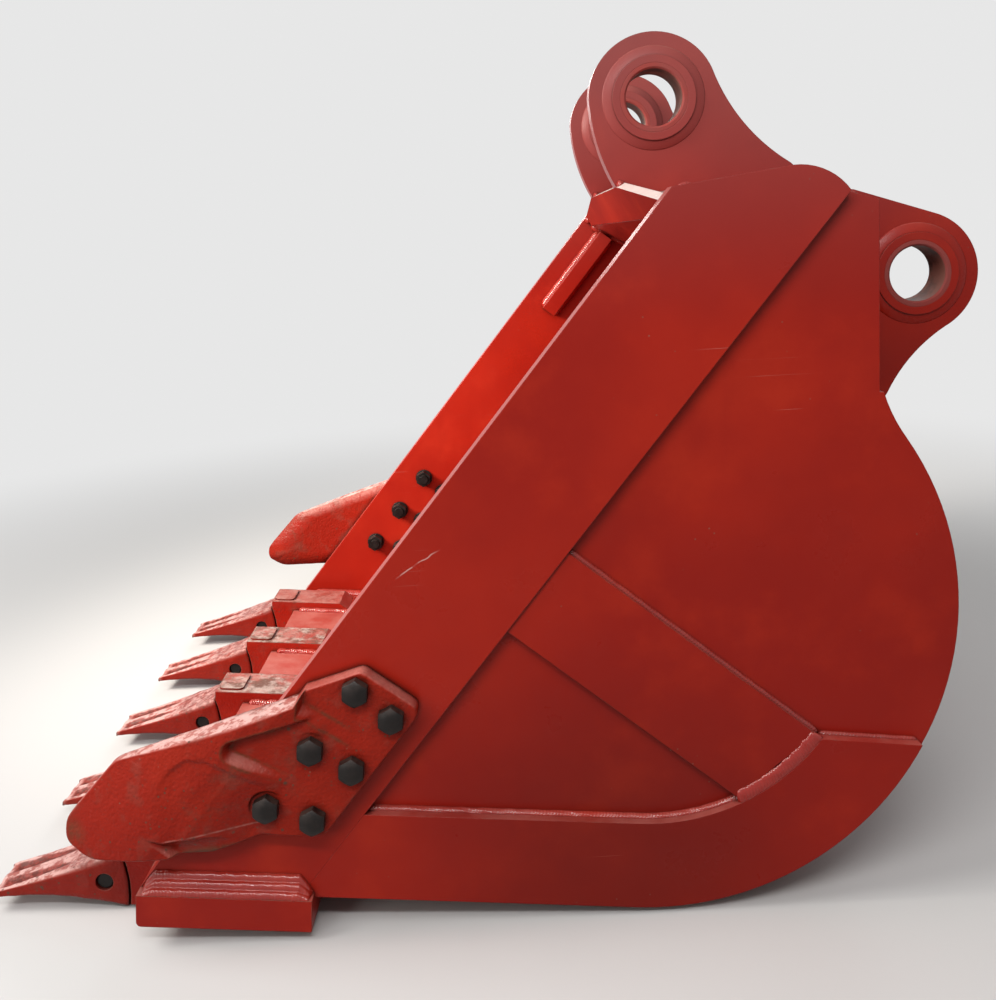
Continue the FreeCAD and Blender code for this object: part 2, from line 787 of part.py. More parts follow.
def side_cutter():
    """The cast cutter: bolted flange, tapered blade, cast pockets and a scallop under the cheek."""
    outside = bar_outer + cutter_body + cutter_bow
    blank = plate(section(
        off_foot(cutter_shoulder),
        off_foot(cutter_step),
        off_foot(cutter_top),
        off_foot(cutter_back),
        off_foot(cutter_heel),
        off_foot(cutter_rim_back),
        off_foot(cutter_rim_front),
        off_foot(cutter_chin),
        (off_foot(cutter_nose), off_foot(cutter_cheek)),
        off_foot(cutter_brow),
    ), bar_outer, outside)
    blank = rounded(blank, cutter_brow_radius, lambda middle: stands_over(middle, cutter_brow))
    for corner, radius in ((cutter_back, cutter_corner), (cutter_heel, cutter_heel_round)):
        blank = rounded(blank, radius, lambda middle: stands_over(middle, corner))
    cutter = blank.common(cutter_thickness())
    for hollow in (cast_pocket(), cast_notch()):
        cutter = cutter.cut(hollow)
    front, back = off_foot(scallop_front), off_foot(scallop_back)
    start = Vector(front[0], bar_outer + cutter_body + scallop_lift, front[1])
    course = Vector(back[0] - front[0], 0, back[1] - front[1])
    cutter = cutter.cut(Part.makeCylinder(scallop_radius, course.Length, start, course))
    for place in bolt_places():
        cutter = cutter.cut(rod(place, bolt_radius + bolt_hole_clearance, bar_outer - 1, outside))
        cutter = cutter.cut(rod(place, spot_face_radius, bar_outer + cutter_flange, outside))
    return cutter


def stands_over(point, offset):
    """Whether a point stands over a corner of the cutter's side view."""
    place = off_foot(offset)
    return math.hypot(point.x - place[0], point.z - place[1]) < 1


def cast_pocket():
    """The round-nosed pocket of the cutter, opening towards the bolts, down to the flange."""
    upper = math.radians(pocket_upper_slope)
    lower = math.radians(pocket_lower_slope)
    centre = off_foot(pocket_nose)
    above = on_circle(centre, pocket_nose_radius, pocket_upper_slope - DOWNWARD)
    below = on_circle(centre, pocket_nose_radius, pocket_lower_slope + DOWNWARD)
    face = section(
        above,
        moved(above, (math.cos(upper), math.sin(upper)), pocket_length),
        moved(below, (math.cos(lower), math.sin(lower)), pocket_length),
        below,
        (moved(centre, (-1, 0), pocket_nose_radius), above),
    )
    return plate(face, bar_outer + cutter_flange, bar_outer + 2 * cutter_body)


def cast_notch():
    """The pocket under the step, open to the upper bolts, down to the flange."""
    slope = math.radians(notch_slope)
    corner = off_foot(notch_corner)
    far = moved(corner, (math.cos(slope), -math.sin(slope)), pocket_length)
    high = moved(corner, towards(notch_corner, cutter_step), pocket_length)
    face = section(corner, high, (far[0], high[1]), far)
    hollow = plate(face, bar_outer + cutter_flange, bar_outer + 2 * cutter_body)
    return rounded(hollow, notch_radius, lambda middle: stands_over(middle, notch_corner))


def cutter_bolt(place):
    """A hexagon bolt with a domed head, through the cutter and the bar."""
    seat = bar_outer + cutter_flange
    tail = side_inner - washer_thickness - nut_height - bolt_end
    corner = bolt_head_width / math.sqrt(3)
    rise = bolt_head_height - bolt_head_rim
    dome = (corner ** 2 + rise ** 2) / (2 * rise)
    head = hexagon(place, bolt_head_width, seat, seat + bolt_head_height)
    head = head.common(Part.makeSphere(dome, Vector(place[0], seat + bolt_head_height - dome, place[1])))
    return head.fuse(rod(place, bolt_radius, tail, seat))


def nut_and_washer(place):
    """The nut and its hardened washer on the bar's inner face."""
    bore = bolt_radius + nut_clearance
    seat = side_inner - washer_thickness
    nut = hexagon(place, bolt_head_width, seat - nut_height, seat).cut(rod(place, bore, 0, side_inner))
    return [nut, tube(place, washer_radius, bolt_radius + bolt_hole_clearance, seat, side_inner)]


# The assembly

STANDING = standing_angle()


def save(name, *solids):
    """Stands the solids of one node on teeth and heel, and writes them."""
    shape = solids[0] if len(solids) == 1 else Part.makeCompound(list(solids))
    shape = shape.copy()
    shape.rotate(Vector(0, 0, 0), ACROSS, STANDING)
    shape.exportStep("parts/" + name + ".step")


def save_pair(name, *solids):
    """Writes the left piece and its mirror image on the right."""
    save(name + "_left", *solids)
    save(name + "_right", *[solid.mirror(Vector(0, 0, 0), ACROSS) for solid in solids])


os.makedirs("parts", exist_ok=True)

save("wrapper", wrapper())
save("lip", lip())
save("tube_front_plate", tube_front_plate())
save("tube_top_plate", tube_top_plate())
save("tube_back_plate", tube_back_plate())
save("bowl_roof", bowl_roof())

save_pair("side_plate", side_plate())
save_pair("side_bar", side_bar())
save_pair("heel_side_plate", heel_side_plate())
save_pair("side_strip", side_strip())
save_pair("corner_gusset", corner_gusset())
save_pair("lip_weld", lip_weld())

save_pair("ear_plate", ear_plate())
for pin_name, pin_place in (("stick", (0.0, 0.0)), ("link", link_pin)):
    save_pair(pin_name + "_boss", boss(pin_place))
    save_pair(pin_name + "_bush", bush(pin_place))
    save_pair(pin_name + "_boss_welds", *boss_weld(pin_place))

save_pair("side_cutter", side_cutter())
save_pair("cutter_bolts", *[cutter_bolt(place) for place in bolt_places()])
save_pair("cutter_nuts", *[piece for place in bolt_places() for piece in nut_and_washer(place)])

teeth = [Vector(0, (turn - (tooth_count - 1) / 2) * tooth_pitch, 0) for turn in range(tooth_count)]
for number, centre in enumerate(teeth, start=1):
    save("adapter_" + str(number), adapter().translated(centre))
    save("tooth_tip_" + str(number), tooth_tip().translated(centre))
    save("tooth_pin_" + str(number), tooth_pin().translated(centre))
save("pin_retainers", *[retainer().translated(centre) for centre in teeth])
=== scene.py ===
import math

import bpy
import numpy as np
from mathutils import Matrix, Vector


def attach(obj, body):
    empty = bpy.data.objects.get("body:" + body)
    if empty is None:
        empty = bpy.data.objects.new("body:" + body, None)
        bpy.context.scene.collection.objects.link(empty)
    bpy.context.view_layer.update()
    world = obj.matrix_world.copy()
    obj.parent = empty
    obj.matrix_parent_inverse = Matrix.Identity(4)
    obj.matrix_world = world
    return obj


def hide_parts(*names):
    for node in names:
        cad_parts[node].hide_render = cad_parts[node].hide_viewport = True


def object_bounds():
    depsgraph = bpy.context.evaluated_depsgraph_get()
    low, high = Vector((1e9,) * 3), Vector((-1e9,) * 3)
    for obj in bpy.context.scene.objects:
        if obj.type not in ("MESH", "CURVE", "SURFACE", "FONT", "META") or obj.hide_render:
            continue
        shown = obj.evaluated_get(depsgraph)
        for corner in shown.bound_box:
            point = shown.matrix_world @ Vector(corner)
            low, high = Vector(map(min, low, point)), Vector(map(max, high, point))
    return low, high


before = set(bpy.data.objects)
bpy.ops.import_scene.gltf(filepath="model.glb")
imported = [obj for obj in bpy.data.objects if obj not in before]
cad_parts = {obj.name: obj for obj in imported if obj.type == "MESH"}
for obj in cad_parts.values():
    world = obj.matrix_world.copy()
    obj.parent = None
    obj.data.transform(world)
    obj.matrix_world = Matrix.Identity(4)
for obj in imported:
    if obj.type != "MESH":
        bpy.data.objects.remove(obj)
cad_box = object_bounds()

# The place where the bucket is shown: a pale floor under its teeth and heel that melts into
# a pale surround, and large soft lamps. The main one stands at the upper left, as in the
# photograph, so the leading edges are bright and the side is a shade darker.
surround = (0.80, 0.80, 0.80)
floor_reach = 14.0
fade_start, fade_end = 1.35, 3.8
floor_level = cad_box[0][2] - 0.0002
floor_centre = (-0.30, 0.0)


class Recipe:
    """A material being put together. Each call adds a node and returns the socket it gives."""

    def __init__(self, name, shader="ShaderNodeBsdfPrincipled"):
        self.material = bpy.data.materials.new(name)
        self.material.use_nodes = True
        self.tree = self.material.node_tree
        self.tree.nodes.clear()
        self.output = self.tree.nodes.new("ShaderNodeOutputMaterial")
        self.shader = self.tree.nodes.new(shader)
        self.tree.links.new(self.shader.outputs[0], self.output.inputs["Surface"])

    def put(self, socket, value):
        """Gives a socket a constant, or a link where the value is another node's socket."""
        if isinstance(value, bpy.types.NodeSocket):
            self.tree.links.new(value, socket)
        elif value is not None:
            wants_colour = socket.type == "RGBA" and len(value) == 3
            socket.default_value = (*value, 1.0) if wants_colour else value

    def add(self, kind, inputs=(), output=0, **settings):
        """A node with its settings, and its inputs in order or by name."""
        node = self.tree.nodes.new(kind)
        for key, value in settings.items():
            setattr(node, key, value)
        pairs = inputs.items() if isinstance(inputs, dict) else enumerate(inputs)
        for key, value in pairs:
            self.put(node.inputs[key], value)
        return node.outputs[output]

    def surface(self, **inputs):
        """Sets the shader's inputs, with underscores for the spaces in their names."""
        for key, value in inputs.items():
            self.put(self.shader.inputs[key.replace("_", " ")], value)
        return self.material

    def place(self):
        """The place on the piece, in metres."""
        return self.add("ShaderNodeTexCoord", output="Object")

    def stretched(self, scale, turn=(0.0, 0.0, 0.0)):
        """The place on the piece, turned and then stretched."""
        return self.add("ShaderNodeMapping", {"Vector": self.place(), "Scale": scale, "Rotation": turn})

    def noise(self, scale, detail=3.0, rough=0.5, vector=None):
        """Cloudy noise from 0 to 1, with so many clouds per metre."""
        inputs = {"Vector": vector or self.place(), "Scale": scale, "Detail": detail, "Roughness": rough}
        return self.add("ShaderNodeTexNoise", inputs)

    def cells(self, scale, feature="F1", vector=None):
        """The distance to the nearest of so many scattered points per metre."""
        inputs = {"Vector": vector or self.place(), "Scale": scale}
        return self.add("ShaderNodeTexVoronoi", inputs, feature=feature)

    def between(self, value, low, high, start=0.0, end=1.0):
        """The value's share of the way from low to high, eased and clamped."""
        inputs = {0: value, 1: low, 2: high, 3: start, 4: end}
        return self.add("ShaderNodeMapRange", inputs, interpolation_type="SMOOTHSTEP")

    def maths(self, operation, *values):
        """One sum on single numbers."""
        return self.add("ShaderNodeMath", values, operation=operation)

    def blend(self, share, first, second, how="MIX"):
        """Two colours mixed by a share."""
        node = self.tree.nodes.new("ShaderNodeMix")
        node.data_type = "RGBA"
        node.blend_type = how
        self.put(node.inputs["Factor"], share)
        self.put(node.inputs[6], first)
        self.put(node.inputs[7], second)
        return node.outputs[2]

    def bump(self, height, distance, normal=None, strength=1.0):
        """The normal of a surface with that height pattern on it, in metres."""
        inputs = {"Strength": strength, "Distance": distance, "Height": height, "Normal": normal}
        return self.add("ShaderNodeBump", inputs)


def pale_floor():
    """Matt pale floor. Seen by the camera or in gloss it fades with distance into the surround,
    and it throws little light back at the bucket."""
    recipe = Recipe("pale_floor", "ShaderNodeBsdfDiffuse")
    rays = recipe.tree.nodes.new("ShaderNodeLightPath")
    seen = recipe.maths("MAXIMUM", rays.outputs["Is Camera Ray"], rays.outputs["Is Glossy Ray"])
    seen = recipe.maths("MAXIMUM", seen, rays.outputs["Is Transmission Ray"])
    recipe.put(recipe.shader.inputs["Color"], recipe.blend(seen, (0.26, 0.26, 0.26), (0.58, 0.58, 0.58)))
    away = recipe.add("ShaderNodeVectorMath", (recipe.place(), (*floor_centre, floor_level)),
                      output="Value", operation="DISTANCE")
    share = recipe.maths("MULTIPLY", seen, recipe.between(away, fade_start, fade_end))
    far = recipe.add("ShaderNodeEmission", {"Color": surround, "Strength": 1.0})
    mixed = recipe.add("ShaderNodeMixShader", (share, recipe.shader.outputs[0], far))
    recipe.tree.links.new(mixed, recipe.output.inputs["Surface"])
    return recipe.material


def lamp(name, place, aim, size, watts, colour, tall=None, spread=180.0):
    """A soft lamp, square unless it is given a height, that faces a point."""
    data = bpy.data.lights.new(name, "AREA")
    data.shape = "RECTANGLE"
    data.size = size
    data.size_y = tall or size
    data.spread = math.radians(spread)
    data.energy = watts
    data.color = colour
    lamp_object = bpy.data.objects.new(name, data)
    bpy.context.scene.collection.objects.link(lamp_object)
    towards = Vector(aim) - Vector(place)
    lamp_object.location = place
    lamp_object.rotation_euler = towards.to_track_quat("-Z", "Y").to_euler()
    lamp_object.visible_camera = False


corners = [(floor_centre[0] + x * floor_reach, floor_centre[1] + y * floor_reach, floor_level)
           for x, y in ((-1, -1), (1, -1), (1, 1), (-1, 1))]
floor_mesh = bpy.data.meshes.new("floor")
floor_mesh.from_pydata(corners, [], [(0, 1, 2, 3)])
floor_mesh.materials.append(pale_floor())
floor = bpy.data.objects.new("floor", floor_mesh)
bpy.context.scene.collection.objects.link(floor)

lamp("key_lamp", (-3.1, -0.9, 1.9), (-0.3, 0.0, -0.6), 2.2, 125.0, (1.0, 0.97, 0.93))
lamp("left_lamp", (-2.5, -0.50, 0.5), (-0.50, 0.62, -0.70), 0.7, 17.0, (1.0, 0.90, 0.78), spread=62.0)
lamp("back_lamp", (1.6, 2.8, 2.0), (-0.2, 0.0, -0.5), 2.5, 40.0, (0.96, 0.98, 1.0))
lamp("window_lamp", (-0.05, 5.2, 1.15), (-0.2, 0.0, 0.0), 1.2, 64.0, (1.0, 0.99, 0.97), tall=1.5)
lamp("front_lamp", (-2.0, -2.2, -0.2), (-0.7, -0.6, -1.1), 1.0, 11.0, (1.0, 0.96, 0.90))
lamp("top_lamp", (-0.1, -2.1, 1.1), (0.1, -0.6, -0.4), 1.0, 14.0, (1.0, 0.98, 0.97))
lamp("tube_lamp", (-0.8, -2.5, 1.2), (-0.5, -0.6, -0.8), 2.2, 34.0, (1.0, 0.99, 0.98), tall=0.12)

world = bpy.data.worlds.new("surround")
bpy.context.scene.world = world
world.use_nodes = True
sky = world.node_tree
sky.nodes.clear()
soft = sky.nodes.new("ShaderNodeBackground")
soft.inputs["Color"].default_value = (1.0, 0.98, 0.95, 1.0)
soft.inputs["Strength"].default_value = 0.26
plain = sky.nodes.new("ShaderNodeBackground")
plain.inputs["Color"].default_value = (*surround, 1.0)
rays = sky.nodes.new("ShaderNodeLightPath")
seen = sky.nodes.new("ShaderNodeMath")
seen.operation = "MAXIMUM"
either = sky.nodes.new("ShaderNodeMixShader")
sky_output = sky.nodes.new("ShaderNodeOutputWorld")
glossy = sky.nodes.new("ShaderNodeMath")
glossy.operation = "MAXIMUM"
sky.links.new(rays.outputs["Is Camera Ray"], seen.inputs[0])
sky.links.new(rays.outputs["Is Transmission Ray"], seen.inputs[1])
sky.links.new(seen.outputs[0], glossy.inputs[0])
sky.links.new(rays.outputs["Is Glossy Ray"], glossy.inputs[1])
sky.links.new(glossy.outputs[0], either.inputs["Fac"])
sky.links.new(soft.outputs[0], either.inputs[1])
sky.links.new(plain.outputs[0], either.inputs[2])
sky.links.new(either.outputs[0], sky_output.inputs["Surface"])
bpy.context.scene.view_settings.view_transform = "Standard"

# The camera stands where the photograph was taken from: two metres off the right side, near
# the bucket's mouth, level with the ears' feet, and looking a little down.
camera_data = bpy.data.cameras.new("camera")
camera_data.lens = 36.0
camera_data.sensor_width = 36.0
camera_data.shift_x = 0.0005
camera_data.shift_y = -0.1436
camera_data.clip_end = 60.0
camera = bpy.data.objects.new("camera", camera_data)
camera.location = (-0.2830, -2.0664, -0.2271)
camera.rotation_euler = [math.radians(angle) for angle in (83.179, 3.432, 0.234)]
bpy.context.scene.collection.objects.link(camera)
bpy.context.scene.camera = camera


# The welded plates: shell, bars, torque tube, ears and wear plates of rolled steel, shot
# blasted and sprayed with a glossy orange-red machine enamel. The spray leaves a faint
# orange peel, the plates' sawn and flame-cut edges are thin on paint, and dust dulls them.
enamel = (0.350, 0.015, 0.006)
enamel_deep = (0.275, 0.010, 0.005)
enamel_bright = (0.430, 0.026, 0.009)
enamel_dusty = (0.50, 0.20, 0.168)
bare_steel = (0.185, 0.115, 0.085)
old_grime = (0.085, 0.050, 0.034)
# painted shade for corners, creases and gaps
painted_corner_shade = (0.060, 0.008, 0.005)
rubbed_pink, rubbed_pale = (0.35, 0.130, 0.110), (0.62, 0.370, 0.340)
bright_steel, stained_steel = (0.44, 0.345, 0.305), (0.13, 0.065, 0.046)
old_soil, dark_flute = (0.095, 0.040, 0.020), (0.105, 0.016, 0.010)
plate_edge = 0.0022


def enamelled(name, edge=plate_edge, gloss=0.30, peel=0.00004, cast=0.0, chips=0.5, dust=0.5, grime=0.0,
              wear=0.0, ripples=0.0, marks=None, scuffed=0.0, scratch=None, corners=0.85, shine=0.17,
              dull_below_painted_glint_above=False, shade=0.0, painted_shade_place=None):
    """Enamel over steel. The colour drifts in wide clouds and greys towards the top, dust lies on what faces up,
    painted shade darkens the corners, chips follow the edges, and cast pieces add lumps, pits,
    grime and worn patches.
    marks reads where a casting is rubbed and soiled, the soil on the cutters also carrying painted shade along
    their creases, and gives the soil's colour and size, scuffed bares what faces up, a scratch is drawn between
    two places of the side view, shade gives a darker copy of the enamel as painted shade, a dark cloud of
    painted shade can be laid round a given place, and one flag leaves what faces down without shine and paints
    what faces up pale as a painted highlight."""
    recipe = Recipe(name)
    geometry = recipe.tree.nodes.new("ShaderNodeNewGeometry")
    eased = recipe.add("ShaderNodeBevel", {"Radius": edge}, samples=4)
    turned = recipe.add("ShaderNodeVectorMath", (eased, geometry.outputs["Normal"]),
                        output="Value", operation="DOT_PRODUCT")
    at_edge = recipe.between(turned, 0.975, 0.78)
    facing = recipe.add("ShaderNodeSeparateXYZ", (geometry.outputs["Normal"],), output="Z")
    height = recipe.add("ShaderNodeSeparateXYZ", (recipe.place(),), output="Z")

    drift = recipe.noise(2.6, 4.0, 0.55)
    colour = recipe.blend(recipe.between(drift, 0.35, 0.68), enamel_deep, enamel)
    cloud = recipe.noise(7.0, 5.0, 0.6)
    colour = recipe.blend(recipe.between(cloud, 0.48, 0.78, 0.0, 0.55), colour, enamel_bright)
    streak = recipe.noise(1.0, 4.0, 0.6, recipe.stretched((26.0, 26.0, 2.4)))
    colour = recipe.blend(recipe.between(streak, 0.52, 0.80, 0.0, 0.22), colour, enamel_deep)

    # Painted shade: a darker copy of the same enamel, given to the cutters and the tips.
    if shade:
        colour = recipe.blend(shade, colour, (0.14, 0.015, 0.008))
    # Painted shade: a dark cloud darkens the enamel round a given place.
    if painted_shade_place:
        away = recipe.add("ShaderNodeVectorMath", (recipe.place(), painted_shade_place), output="Value", operation="DISTANCE")
        colour = recipe.blend(recipe.between(away, 0.40, 0.04, 0.0, 0.50), colour, (0.06, 0.005, 0.004))

    # The colour greys towards the top.
    upper = recipe.between(height, -0.40, 0.10, 0.0, 0.85)
    colour = recipe.blend(recipe.maths("MULTIPLY", upper, dust), colour, (0.16, 0.100, 0.100))
    lying = recipe.maths("MULTIPLY", recipe.between(facing, 0.25, 0.95, 0.0, 0.75),
                         recipe.between(recipe.noise(11.0, 6.0, 0.68), 0.30, 0.72, 0.25, 1.0))
    film = recipe.maths("MULTIPLY", recipe.maths("ADD", upper, lying), dust)
    colour = recipe.blend(recipe.maths("MULTIPLY", lying, dust), colour, enamel_dusty)

    speck = recipe.between(recipe.cells(46.0), 0.085, 0.030)
    speck = recipe.maths("MULTIPLY", speck, recipe.between(recipe.noise(5.0, 2.0), 0.56, 0.64))
    nick = recipe.maths("MULTIPLY", at_edge, recipe.between(recipe.noise(60.0, 5.0, 0.7), 0.53, 0.60))
    rub = recipe.noise(1.0, 2.0, 0.5, recipe.stretched((4.0, 4.0, 420.0), (0.0, 0.62, 0.0)))
    rub = recipe.maths("MULTIPLY", recipe.between(rub, 0.735, 0.765),
                       recipe.between(recipe.noise(3.2, 2.0), 0.56, 0.66))
    colour = recipe.blend(recipe.maths("MULTIPLY", rub, 0.55), colour, enamel_dusty)
    gone = recipe.maths("MULTIPLY", recipe.maths("MAXIMUM", nick, speck), chips)
    if wear:
        rubbed = recipe.maths("ADD", recipe.noise(16.0, 6.0, 0.7), recipe.maths("MULTIPLY", at_edge, 0.30))
        gone = recipe.maths("MAXIMUM", gone, recipe.between(rubbed, 0.80 - wear, 0.86 - wear))
    colour = recipe.blend(gone, colour, bare_steel)
    # Painted shade: ambient occlusion darkens the corners, creases and gaps towards a dark red.
    corner_shade_share = recipe.add("ShaderNodeAmbientOcclusion", {"Distance": 0.020 if cast else 0.013},
                      output="AO", samples=6)
    corner_shade_share = recipe.between(corner_shade_share, 0.86, 0.46, 0.0, corners)
    colour = recipe.blend(corner_shade_share, colour, painted_corner_shade)
    if marks:
        chart = recipe.tree.nodes.new("ShaderNodeSeparateXYZ")
        recipe.put(chart.inputs[0], recipe.add("ShaderNodeUVMap", uv_map="marks"))
        rubbed = recipe.between(recipe.noise(55.0, 6.0, 0.7), 0.34, 0.56, 0.25, 1.0)
        paler = recipe.maths("MULTIPLY", recipe.between(facing, 0.60, 0.92), recipe.between(rubbed, 0.5, 1.0))
        worn = recipe.blend(paler, rubbed_pink, rubbed_pale)
        colour = recipe.blend(recipe.maths("MULTIPLY", chart.outputs["X"], rubbed), colour, worn)
        # On the cutters this soil also lays the painted shade of the creases.
        soiled = recipe.between(recipe.noise(marks[1], 6.0, 0.7), 0.38, 0.58, 0.15, 0.95)
        colour = recipe.blend(recipe.maths("MULTIPLY", chart.outputs["Y"], soiled), colour, marks[0])
    if scuffed:
        bared = recipe.maths("MULTIPLY", recipe.between(facing, 0.80, 0.97),
                             recipe.between(recipe.noise(24.0, 7.0, 0.75), 0.34, 0.58, 0.1, scuffed))
        steel = recipe.blend(recipe.between(recipe.noise(34.0, 6.0, 0.7), 0.40, 0.60), stained_steel, bright_steel)
        colour = recipe.blend(bared, colour, steel)
        outline = recipe.between(recipe.noise(40.0, 4.0, 0.7), 0.30, 0.60, 0.3, 0.9)
        colour = recipe.blend(recipe.maths("MULTIPLY", at_edge, outline), colour, old_grime)
    if scratch:
        start, end = (np.asarray(place) for place in scratch)
        along = (end - start) / np.linalg.norm(end - start)
        spot = recipe.tree.nodes.new("ShaderNodeSeparateXYZ")
        recipe.put(spot.inputs[0], recipe.place())
        east = recipe.maths("SUBTRACT", spot.outputs["X"], float(start[0]))
        north = recipe.maths("SUBTRACT", spot.outputs["Z"], float(start[1]))
        far = recipe.maths("ADD", recipe.maths("MULTIPLY", east, float(along[0])),
                           recipe.maths("MULTIPLY", north, float(along[1])))
        off = recipe.maths("SUBTRACT", recipe.maths("MULTIPLY", north, float(along[0])),
                           recipe.maths("MULTIPLY", east, float(along[1])))
        off = recipe.maths("ADD", off, recipe.between(recipe.noise(14.0, 3.0), 0.3, 0.7, -0.004, 0.004))
        line = recipe.between(recipe.maths("ABSOLUTE", off), 0.0016, 0.0006)
        inside = recipe.between(recipe.maths("ABSOLUTE", recipe.maths(
            "SUBTRACT", far, float(np.linalg.norm(end - start) / 2))), float(np.linalg.norm(end - start) / 2), 0.02)
        line = recipe.maths("MULTIPLY", recipe.maths("MULTIPLY", line, inside),
                            recipe.between(recipe.noise(45.0, 3.0), 0.42, 0.52, 0.1, 0.7))
        line = recipe.maths("MULTIPLY", line, recipe.between(spot.outputs["Y"], -0.640, -0.650))
        colour = recipe.blend(line, colour, rubbed_pale)
    if grime:
        dirt = recipe.between(recipe.noise(13.0, 7.0, 0.72), 0.66 - 0.2 * grime, 0.80, 0.0, 0.75)
        colour = recipe.blend(dirt, colour, old_grime)
        smudge = recipe.between(recipe.noise(24.0, 3.0, 0.5), 0.56, 0.68, 0.0, 0.34 * grime)
        colour = recipe.blend(smudge, colour, (0.17, 0.062, 0.045))
        pit = recipe.between(recipe.cells(85.0), 0.20, 0.08)
        pit = recipe.maths("MULTIPLY", pit, recipe.between(recipe.noise(9.0, 3.0), 0.48, 0.58))
        spot = recipe.between(recipe.cells(34.0), 0.115, 0.070)
        spot = recipe.maths("MULTIPLY", spot, recipe.between(recipe.noise(7.0, 2.0), 0.46, 0.54))
        colour = recipe.blend(recipe.maths("MULTIPLY", recipe.maths("MAXIMUM", pit, spot), 0.8), colour, old_grime)

    sheen = recipe.maths("ADD", recipe.between(cloud, 0.2, 0.8, gloss - 0.05, gloss + 0.09),
                         recipe.maths("MULTIPLY", film, 0.22))
    sheen = recipe.maths("ADD", sheen, recipe.maths("MULTIPLY", gone, 0.30))

    normal = recipe.bump(recipe.noise(170.0, 2.0), peel, eased)
    normal = recipe.bump(recipe.noise(9.0, 2.0), 0.0006, normal)
    normal = recipe.bump(recipe.maths("SUBTRACT", 1.0, gone), 0.00012, normal)
    if cast:
        normal = recipe.bump(recipe.noise(75.0, 4.0, 0.6), 0.0016 * cast, normal)
        normal = recipe.bump(recipe.between(recipe.cells(190.0), 0.0, 0.7), 0.00035 * cast, normal)
    if ripples:
        along = recipe.add("ShaderNodeUVMap", uv_map="along")
        parts = recipe.tree.nodes.new("ShaderNodeSeparateXYZ")
        recipe.put(parts.inputs[0], along)
        across = recipe.maths("MULTIPLY", recipe.maths("SUBTRACT", parts.outputs["Y"], 0.5), 2.0)
        crescent = recipe.maths("MULTIPLY", recipe.maths("MULTIPLY", across, across), 0.0032)
        step = recipe.maths("ADD", parts.outputs["X"], crescent)
        step = recipe.maths("ADD", step, recipe.maths("MULTIPLY", recipe.noise(60.0, 2.0), 0.0030))
        wave = recipe.maths("ABSOLUTE", recipe.maths("SINE", recipe.maths("MULTIPLY", step, 620.0)))
        normal = recipe.bump(wave, ripples, normal)
    if dull_below_painted_glint_above:
        shine = recipe.between(facing, -0.35, -0.10, 0.0, shine)
        # Painted highlight: what faces up is painted a pale pinkish white, the glint along the top edge.
        colour = recipe.blend(recipe.between(facing, 0.60, 0.80), colour, (0.78, 0.68, 0.64))
    return recipe.surface(Base_Color=colour, Roughness=sheen, Normal=normal, Specular_IOR_Level=shine)


def finish_node(name, material):
    """Gives a node of the frame its finish."""
    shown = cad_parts[name]
    shown.data.materials.clear()
    shown.data.materials.append(material)


# The plates' enamel has a painted shadow: a dark cloud round the lower middle of the heel, on the side towards -Y.
plate_finish = enamelled("enamelled_plate", scratch=((-0.4686, -0.7191), (-0.3993, -0.6718)),
                         painted_shade_place=(-0.17, -0.64, -1.19))
floor_finish = enamelled("enamelled_floor", dust=0.85, chips=0.8, wear=0.05)
for name in ("side_plate", "side_bar", "heel_side_plate", "side_strip", "corner_gusset", "ear_plate"):
    for side in ("_left", "_right"):
        finish_node(name + side, plate_finish)
for name in ("tube_top_plate", "tube_back_plate", "bowl_roof"):
    finish_node(name, plate_finish)
# The tube's front plate has the top edge painted pale as a highlight.
finish_node("tube_front_plate", enamelled("enamelled_tube_front", gloss=0.12, dust=0.45, shine=0.5, dull_below_painted_glint_above=True))
for name in ("wrapper", "lip"):
    finish_node(name, floor_finish)

# Weld beads: every plate is joined to the next by fillets of deposited steel, laid in passes
# by hand, so each bead is a little uneven, shows the ripples of the arc, and is as glossy
# as the plate around it. They follow the corners of the frame's plates.
standing = math.radians(5.2673)
side_inner, side_outer, bar_outer = 0.6125, 0.6325, 0.6525
heel_centre = np.array((-0.024, -0.809))
heel_radius = 0.461
wrapper_wall = 0.018
throat_turn = 38.2
throat_top = np.array((0.300, -0.458))
tube_crest = np.array((-0.059, -0.158))
down_front = np.array((math.cos(math.radians(59.0)), -math.sin(math.radians(59.0))))
into_front = np.array((-down_front[1], down_front[0]))
tube_front = np.array((-0.0272, -0.178))
tube_back = np.array((0.272, -0.182))
bar_top = np.array((-0.026, -0.175))
bar_turn = math.radians(55.07)
down_bar = np.array((-math.cos(bar_turn), -math.sin(bar_turn)))
behind_bar = np.array((math.sin(bar_turn), -math.cos(bar_turn)))
bar_width = 0.204
floor_top = heel_centre[1] - heel_radius + wrapper_wall
lip_under = floor_top - 0.050
bar_foot = bar_top + down_bar * ((floor_top - bar_top[1]) / down_bar[1])
bar_foot_back = bar_foot + np.array((bar_width / math.sin(bar_turn), 0.0))
lip_front = bar_foot[0]
lip_back = bar_foot_back[0] + 0.016
weld_finish = enamelled("enamelled_weld", edge=0.0006, gloss=0.16, chips=0.25, dust=0.3, ripples=0.00035,
                        corners=0.5, shine=0.5)


def stand(points):
    """Points drawn with the bucket's floor level, turned about Y to how it stands."""
    points = np.asarray(points, float)
    x = points[..., 0] * math.cos(standing) + points[..., 2] * math.sin(standing)
    z = points[..., 2] * math.cos(standing) - points[..., 0] * math.sin(standing)
    return np.stack((x, points[..., 1], z), axis=-1)


